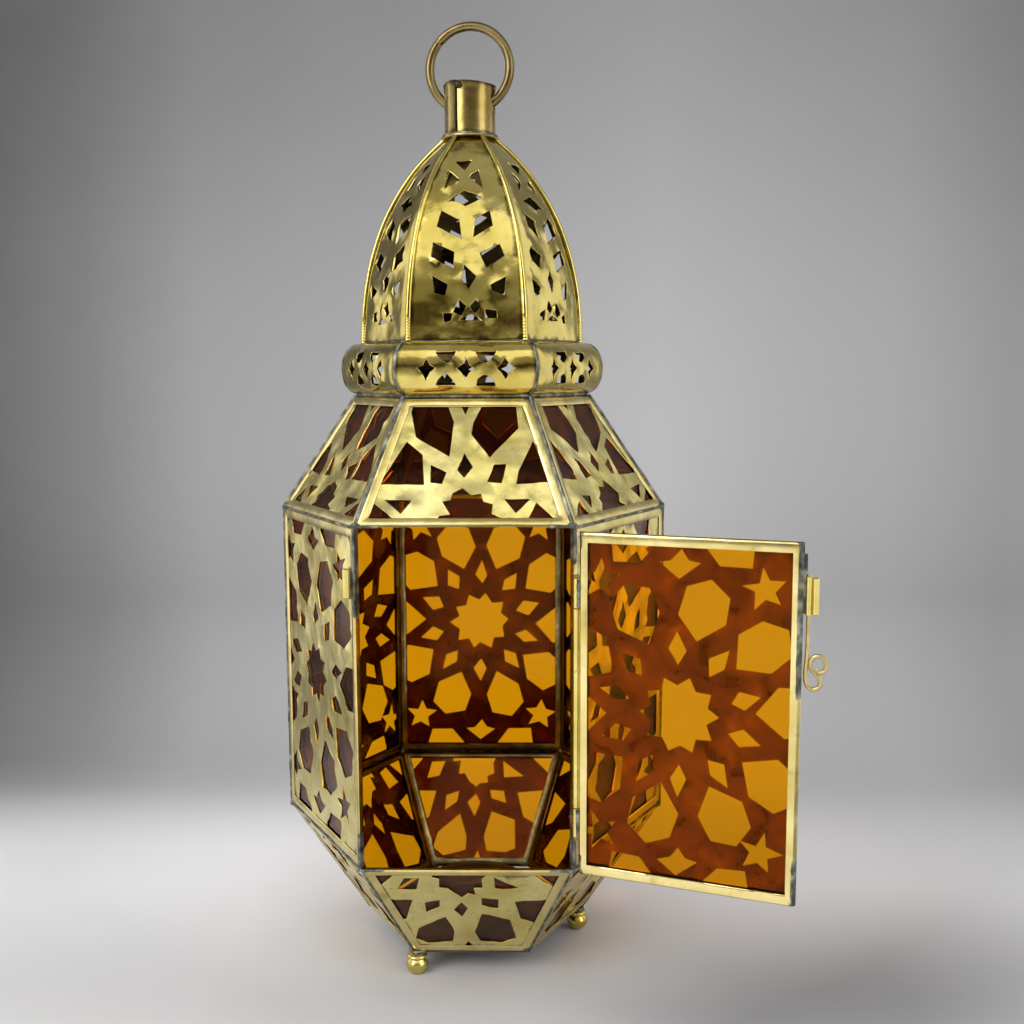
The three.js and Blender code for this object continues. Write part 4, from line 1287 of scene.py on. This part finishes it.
KNUCKLE_RADIUS = 1.35
KNUCKLE_BORE = 0.75


def tube_points(centre, z0, z1, radius, bore, count=20):
    """A short rolled tube with softened ends."""
    soft = 0.18
    profile = [
        (bore, z0), (radius - soft, z0), (radius, z0 + soft), (radius, (z0 + z1) / 2),
        (radius, z1 - soft), (radius - soft, z1), (bore, z1),
    ]
    return lathe_points(profile, centre, count, closed_profile=True)


HINGE_GAP = 0.2  # between the long knuckle and the door's
PIN_BELOW = 1.5
PIN_ABOVE = 1.2
PIN_RADIUS = 0.55
PIN_HEAD = [0.6, 1.0, 1.12, 1.12, 1.0, 0.7]


def hinge_line(z0, z1, count):
    return [upright(HINGE, z) for z in np.linspace(z0, z1, count)]


def build_hinge():
    pin_low, pin_high = box_mm("hinge_pin")
    frame_points = node_points("body_frame")
    reach = np.hypot(frame_points[:, 0] - HINGE[0], frame_points[:, 1] - HINGE[1])
    near = frame_points[reach < KNUCKLE_RADIUS + 0.05]
    low, high = float(near[:, 2].min()), float(near[:, 2].max())
    lowest, highest = float(pin_low[2]) + PIN_BELOW, float(pin_high[2]) - PIN_ABOVE
    points, faces = tube_points(HINGE, low, high, KNUCKLE_RADIUS, KNUCKLE_BORE)
    make_piece("hinge_long_knuckle", points, faces, MATERIALS["fittings"], "lantern")
    spans = ((lowest, low - HINGE_GAP), (high + HINGE_GAP, highest))
    points, faces = join_parts([tube_points(HINGE, *span, KNUCKLE_RADIUS, KNUCKLE_BORE) for span in spans])
    make_piece("hinge_door_knuckles", points, faces, MATERIALS["fittings"], "door")
    shank = hinge_line(pin_low[2], pin_high[2], 40)
    head = hinge_line(highest + 0.15, pin_high[2] - 0.1, len(PIN_HEAD))
    points, faces = join_parts([sweep_points(shank, PIN_RADIUS, 12), sweep_points(head, PIN_HEAD, 14)])
    make_piece("hinge_wire_pin", points, faces, MATERIALS["wire"], "lantern", ("hinge_pin",))
    fixed_leaf = polar(1, seam_angle(1)) * -1.25 + polar(0.75, side_angle(2) + math.pi / 2)
    fixed = seam_path(upright(HINGE, low + 1) + fixed_leaf, upright(HINGE, high - 1) + fixed_leaf)
    solder_piece("hinge_solder_fixed", [solder_run(fixed, 55, 0.85, 0.2, 10, 0.15)], "lantern")
    door_leaf = polar(0.95, seam_angle(1) + math.pi + 0.45 + DOOR_REST) * 1.2
    parts = []
    for z0, z1 in spans:
        path = seam_path(upright(HINGE, z0 + 0.4), upright(HINGE, z1 - 0.4), 1.2)
        parts.append(solder_run([p + door_leaf for p in path], 57, 0.95, 0.25, 10, 0.2))
    solder_piece("hinge_solder_door", parts, "door")


# ---- latch --------------------------------------------------------------------------------------

HOOK_SCROLL = [
    (0, 37.4), (0, 31), (0.05, 25), (0, 19.3), (0, 13), (-0.15, 9.8), (-0.4, 6.6), (-0.3, 3.5), (0.5, 1.35),
    (2.05, 0.65), (3.6, 1.2), (4.3, 2.6), (3.8, 4.3), (2.4, 5.9), (1.2, 7.6), (1.1, 9.6), (2.2, 11.1),
    (3.95, 11.4), (5.5, 10.3), (6, 8.4), (5.2, 6.6), (3.8, 6.2), (3.1, 7.3),
]
HOOK_WIRE = 0.65
SCROLL_WIRE = 0.75  # hammered a little wider than the shank
SCROLL_TOP = 13.5
LATCH_PITCH = 2.15


def smooth_path(points, per_span=5):
    """Catmull-Rom curve through points."""
    points = [np.asarray(p, float) for p in points]
    padded = [2 * points[0] - points[1]] + points + [2 * points[-1] - points[-2]]
    path = []
    for i in range(1, len(padded) - 2):
        a, b, c, d = padded[i - 1: i + 3]
        for k in range(per_span):
            t = k / per_span
            path.append(0.5 * (2 * b + (c - a) * t + (2 * a - 5 * b + 4 * c - d) * t * t
                               + (3 * b - a - 3 * c + d) * t ** 3))
    path.append(points[-1])
    return path


SCROLL_TIP = [0.72, 0.68, 0.62, 0.54, 0.44]


def build_latch():
    low, high = box_mm("latch_barrel")
    foot = box_mm("latch_hook")[0][2]
    away = polar(1, math.pi + DOOR_REST)
    inner = upright(LATCH, 0)
    outer = inner + away * LATCH_PITCH
    points, faces = join_parts([
        tube_points(inner, low[2], high[2], 1.15, 0.85),
        tube_points(outer, low[2] + 0.3, high[2] - 0.4, 1.12, 0.75),
    ])
    make_piece("latch_double_tube", points, faces, MATERIALS["fittings"], "door", ("latch_barrel",))
    path = smooth_path([upright(inner + away * out, foot + up) for out, up in HOOK_SCROLL])
    in_tube = sum(point[2] > foot + SCROLL_TOP for point in path)
    in_scroll = len(path) - in_tube - len(SCROLL_TIP)
    radii = [HOOK_WIRE] * in_tube + [SCROLL_WIRE] * in_scroll + SCROLL_TIP
    bar("latch_scroll_wire", path, radii, MATERIALS["hook"], "hook", ("latch_hook",), count=14)
    root = inner - away * 1.35
    seat = seam_path(upright(root, low[2] + 0.6), upright(root, high[2] + 7), 1.5)
    solder_piece("latch_solder", [solder_run(seat, 77, 0.8, 0.3, 10, 0.2)], "door")


def build_keeper():
    low, high = box_mm("latch_keeper")
    centre = (low + high) / 2
    points, faces = tube_points(centre, low[2], high[2], 1.35, 0.85)
    make_piece("keeper_tube", points, faces, MATERIALS["fittings"], "lantern", ("latch_keeper",))
    root = centre - polar(1.5, side_angle(SIDES))
    seat = seam_path(upright(root, low[2] - 0.5), upright(root, high[2] + 0.5), 1.5)
    solder_piece("keeper_solder", [solder_run(seat, 79, 0.6, 0.2, 10, 0.2)], "lantern")


# ---- base ---------------------------------------------------------------------------------------

def build_base():
    low, high = box_mm("base_plate")
    plate_radius = high[1] / math.sin(math.pi / 3)
    rows = []
    for z, shrink in ((low[2], 0.3), (low[2] + 0.25, 0.0), (high[2] - 0.25, 0.0), (high[2], 0.3)):
        rows.append([polar(plate_radius - shrink, seam_angle(side), z) for side in ALL_SIDES])
    points = [p for row in rows for p in row]
    faces = grid_faces(len(rows), SIDES, False, True)
    faces.append(tuple(reversed(range(SIDES))))
    faces.append(tuple(range(3 * SIDES, 4 * SIDES)))
    make_piece("base_floor_sheet", points, faces, MATERIALS["floor_sheet"], "lantern", ("base_plate",))
    cup_low, cup_high = box_mm("candle_cup")
    radius = cup_high[0]
    profile = fillet_profile([
        (0, cup_low[2], 0), (radius - 1.6, cup_low[2], 1.4), (radius - 0.5, cup_high[2] - 0.6, 0.3),
        (radius, cup_high[2] - 0.3, 0.2), (radius - 0.3, cup_high[2], 0.2),
        (radius - 1.1, cup_high[2] - 0.5, 0.3), (radius - 2.3, cup_low[2] + 0.8, 1.2),
        (0, cup_low[2] + 0.8, 0),
    ])
    points, faces = lathe_points(profile, (0, 0), 64)
    make_piece("tealight_cup", points, faces, MATERIALS["floor_sheet"], "lantern", ("candle_cup",))
    for number in (1, 2, 3):
        build_foot(number)


def build_foot(number):
    low, high = box_mm(f"foot_{number}")
    centre = (low + high) / 2
    radius = (high[0] - low[0]) / 2
    bottom = low[2]
    profile = fillet_profile([
        (0, bottom, 0), (radius * 0.66, bottom, 1.0), (radius + 0.2, bottom + 2.1, 1.4),
        (radius + 0.2, bottom + 4.3, 1.4), (radius - 0.9, bottom + 5.8, 0.2),
        (radius - 0.8, bottom + 6.1, 0.2), (radius + 0.1, bottom + 6.5, 0.3), (radius, bottom + 7.3, 0.4),
        (radius - 1.2, bottom + 8.0, 0.3), (0, bottom + 8.6, 0),
    ])
    points, faces = lathe_points(profile, centre, 40)
    points = [p + (p - upright(centre, p[2])) * rough(p, 4.0, 0.05) for p in points]
    make_piece(f"foot_turned_{number}", points, faces, MATERIALS["fittings"], "lantern", (f"foot_{number}",))
    inward = -upright(centre, 0) / np.hypot(centre[0], centre[1])
    blob = solder_blob(upright(centre, bottom + 8.4) + inward * 0.6, 3.3, number * 7.0, flat=0.5, count=18)
    solder_piece(f"foot_solder_{number}", [blob], "lantern")


# ---- stage --------------------------------------------------------------------------------------

FLOOR_FAR = 0.25
SWEEP_RADIUS = 0.09
WALL_HEIGHT = 3.0
STAGE_HALF = 3.0
# Grey of the wall and of the floor from left to right, as (x in metres, value), with painted shade
# towards the edges and, on the near floor, the lantern's painted shadow to its right.
WALL_GREYS_AND_SHADE = [(-0.31, 0.12), (-0.245, 0.19), (-0.175, 0.31), (0.1, 0.46), (0.24, 0.38), (0.31, 0.29)]
FAR_FLOOR_GREYS_AND_SHADE = [(-0.31, 0.52), (-0.2, 0.60), (-0.1, 0.76), (0.1, 0.70), (0.2, 0.54), (0.31, 0.43)]
NEAR_FLOOR_GREYS_AND_SHADOW = [
    (-0.31, 0.30), (-0.18, 0.35), (-0.1, 0.46), (0.02, 0.46), (0.10, 0.24), (0.16, 0.14), (0.31, 0.12),
]
ROOM_GREY = 0.92
# Painted glow: how brightly the backdrop glows by emission where it is seen through one pane, and what is
# left of it through two.
GLOW = 0.56
GLOW_TWO_PANES = 0.05


# How far round (as the Y of the direction back to the eye) the graded greys give way to the plain
# floor, and where the eye must be behind the wall.
FRONT_VIEW = (-0.85, -0.65)
BEHIND_WALL = 0.3


def grey_ramp(n, x, greys):
    return n.scaled_ramp(x, [(at, (v * 0.985, v * 0.99, v * 1.03)) for at, v in greys])


def backdrop_material():
    """Pale floor that rises into a grey wall, and a painted glow, by emission, where it is seen through
    glass.

    The graded greys are for the front view, and hold painted shade: darker towards the edges and up
    the wall, with the lantern's painted shadow on the near floor to its right. From any other side
    the floor is plain and pale, and the back of the wall is clear, so that it never hides the object.
    """
    n = Nodes(bpy.data.materials.new("backdrop"))
    geometry = n.add("NewGeometry")
    place = geometry.outputs["Position"]
    path = n.add("LightPath")
    camera = path.outputs["Is Camera Ray"]
    towards = n.add("SeparateXYZ", {0: geometry.outputs["Incoming"]}).outputs["Y"]
    split = n.add("SeparateXYZ", {0: place})
    x, y, z = (split.outputs[k] for k in "XYZ")
    rise = n.remap(y, 0.07, 0.20, smooth=True)
    near = n.remap(y, 0.05, -0.07, smooth=True)
    beside = n.math("MAXIMUM", n.remap(y, -0.075, -0.11), n.remap(n.math("ABSOLUTE", x), 0.37, 0.45))
    mirrored = n.times(beside, n.math("SUBTRACT", 1.0, camera))
    room = n.math("MAXIMUM", mirrored, n.times(camera, n.remap(towards, *FRONT_VIEW)))
    # Painted shade: the wall darkens towards the top, and the floor greys carry the lantern's painted shadow.
    shade_up_wall = n.remap(z, 0.12, 0.50, 1.0, 0.45, smooth=True)
    floor = n.mix(near, grey_ramp(n, x, FAR_FLOOR_GREYS_AND_SHADE), grey_ramp(n, x, NEAR_FLOOR_GREYS_AND_SHADOW))
    wall = n.mix(1.0, grey_ramp(n, x, WALL_GREYS_AND_SHADE), shade_up_wall, "MULTIPLY")
    colour = n.mix(room, n.mix(rise, floor, wall), (ROOM_GREY, ROOM_GREY, ROOM_GREY))
    mottle = n.ramp(n.noise(place, 9, 3, 0.5), [(0.3, 0.0), (0.7, 0.06)])
    matt = n.add("BsdfDiffuse", {"Color": n.mix(mottle, colour, (0.4, 0.39, 0.4))}).outputs[0]
    # The clear back of the wall counts as one more surface passed, which is taken off again here.
    passed = n.math("SUBTRACT", path.outputs["Transparent Depth"],
                    n.math("GREATER_THAN", towards, BEHIND_WALL))
    # Painted light: seen through the glass, the backdrop glows by emission, a little more low on the wall and
    # less on the floor.
    seen = n.times(n.math("GREATER_THAN", passed, 0.5), camera)
    kept = n.remap(passed, 2.4, 3.6, 1.0, GLOW_TWO_PANES)
    height = n.remap(z, 0.08, 0.22, 1.12, 0.9, smooth=True)
    level = n.math("SUBTRACT", 1.0, n.times(n.math("SUBTRACT", 1.0, rise), 0.2))
    strength = n.times(n.times(n.times(kept, height), level), GLOW)
    glow = n.add("Emission", {"Color": (1.0, 0.98, 0.95), "Strength": strength}).outputs[0]
    behind = n.times(geometry.outputs["Backfacing"], camera)
    clear = n.add("BsdfTransparent").outputs[0]
    return n.finish(n.blend(behind, n.blend(seen, matt, glow), clear))


def build_stage():
    floor_z = CAD_BOX[0][2]
    bend = FLOOR_FAR - SWEEP_RADIUS
    profile = [(-STAGE_HALF, 0.0), (bend, 0.0)]
    for angle in np.linspace(0, math.pi / 2, 25)[1:]:
        profile.append((bend + SWEEP_RADIUS * math.sin(angle), SWEEP_RADIUS * (1 - math.cos(angle))))
    profile.append((FLOOR_FAR, WALL_HEIGHT))
    points = [(x, y, floor_z + z) for y, z in profile for x in (-STAGE_HALF, STAGE_HALF)]
    mesh = bpy.data.meshes.new("backdrop")
    mesh.from_pydata(points, [], grid_faces(len(profile), 2, False, False))
    mark_sharp(mesh, 60)
    mesh.materials.append(backdrop_material())
    piece = bpy.data.objects.new("backdrop", mesh)
    bpy.context.scene.collection.objects.link(piece)


def area_light(name, place, target, size, power, colour=(1, 1, 1)):
    data = bpy.data.lights.new(name, "AREA")
    data.shape = "RECTANGLE"
    data.size, data.size_y = size
    data.energy = power
    data.color = colour
    light = bpy.data.objects.new(name, data)
    light.location = place
    light.visible_camera = False
    light.rotation_euler = (Vector(target) - Vector(place)).to_track_quat("-Z", "Y").to_euler()
    bpy.context.scene.collection.objects.link(light)
    return light


# What the brass mirrors, by height of direction (-0.2 to 1): towards the viewer a dark room line over
# the floor and pale above it, to either side plain and pale.
SKY_FRONT = [
    (-0.2, (0.75, 0.72, 0.68)), (-0.02, (0.60, 0.56, 0.50)), (0.02, (0.26, 0.23, 0.18)),
    (0.055, (0.24, 0.21, 0.16)), (0.075, (0.035, 0.018, 0.006)), (0.19, (0.05, 0.027, 0.01)),
    (0.24, (0.36, 0.35, 0.31)), (0.45, (0.46, 0.45, 0.42)), (0.62, (0.28, 0.28, 0.27)),
    (1.0, (0.50, 0.50, 0.50)),
]
SKY_SIDE = [
    (-0.2, (0.75, 0.74, 0.72)), (0.3, (0.70, 0.70, 0.68)), (0.6, (0.34, 0.34, 0.34)), (1.0, (0.5, 0.5, 0.5)),
]
SKY_TURN = (-0.85, -0.6)
SKY_SEEN = (0.62, 0.62, 0.63)  # the plain grey that the camera sees past the floor
SKY_STRENGTH = 0.9


def build_world():
    world = bpy.data.worlds.new("studio")
    bpy.context.scene.world = world
    n = Nodes(world, "World")
    split = n.add("SeparateXYZ", {0: n.add("TexCoord").outputs["Generated"]})
    height = split.outputs["Z"]
    turn = n.remap(split.outputs["Y"], *SKY_TURN)
    sky = n.mix(turn, n.scaled_ramp(height, SKY_FRONT), n.scaled_ramp(height, SKY_SIDE))
    sky = n.mix(n.add("LightPath").outputs["Is Camera Ray"], sky, SKY_SEEN)
    n.finish(n.add("Background", {"Color": sky, "Strength": SKY_STRENGTH}).outputs[0])


def build_lights():
    middle = (0, 0, 0.17)
    area_light("key_left", (-1.0, -0.9, 0.95), middle, (0.8, 1.2), 16, (1.0, 0.98, 0.95))
    area_light("fill_right", (1.15, -0.7, 0.6), middle, (0.6, 1.0), 5, (0.95, 0.97, 1.0))
    area_light("front_high", (0.1, -1.4, 1.5), middle, (2.4, 0.8), 8)
    overhead = area_light("top", (0, -0.1, 1.35), (0, 0.1, 0), (1.2, 0.9), 7)
    overhead.visible_glossy = False


# The viewing angle: a little right of the door side and level with the collar, looking slightly down.
CAMERA = {"place": (0.0223, -0.4509, 0.2180), "yaw": 0.88, "pitch": -6.83, "roll": -0.21, "lens": 40.57,
          "sensor": 36.0}


def build_camera():
    data = bpy.data.cameras.new("camera")
    data.lens = CAMERA["lens"]
    data.sensor_width = CAMERA["sensor"]
    data.clip_start = 0.01
    camera = bpy.data.objects.new("camera", data)
    yaw = Matrix.Rotation(math.radians(CAMERA["yaw"]), 4, "Z")
    pitch = Matrix.Rotation(math.radians(90 + CAMERA["pitch"]), 4, "X")
    roll = Matrix.Rotation(math.radians(CAMERA["roll"]), 4, "Z")
    camera.matrix_world = Matrix.Translation(CAMERA["place"]) @ yaw @ pitch @ roll
    bpy.context.scene.collection.objects.link(camera)
    bpy.context.scene.camera = camera


# ---- assembly -----------------------------------------------------------------------------------

build_bands()
build_door()
build_seams()
build_dome()
build_ribs()
build_collar()
build_neck()
build_ring()
build_hinge()
build_latch()
build_keeper()
build_base()
build_stage()
build_world()
build_lights()
build_camera()
bpy.context.scene.view_settings.view_transform = "Standard"
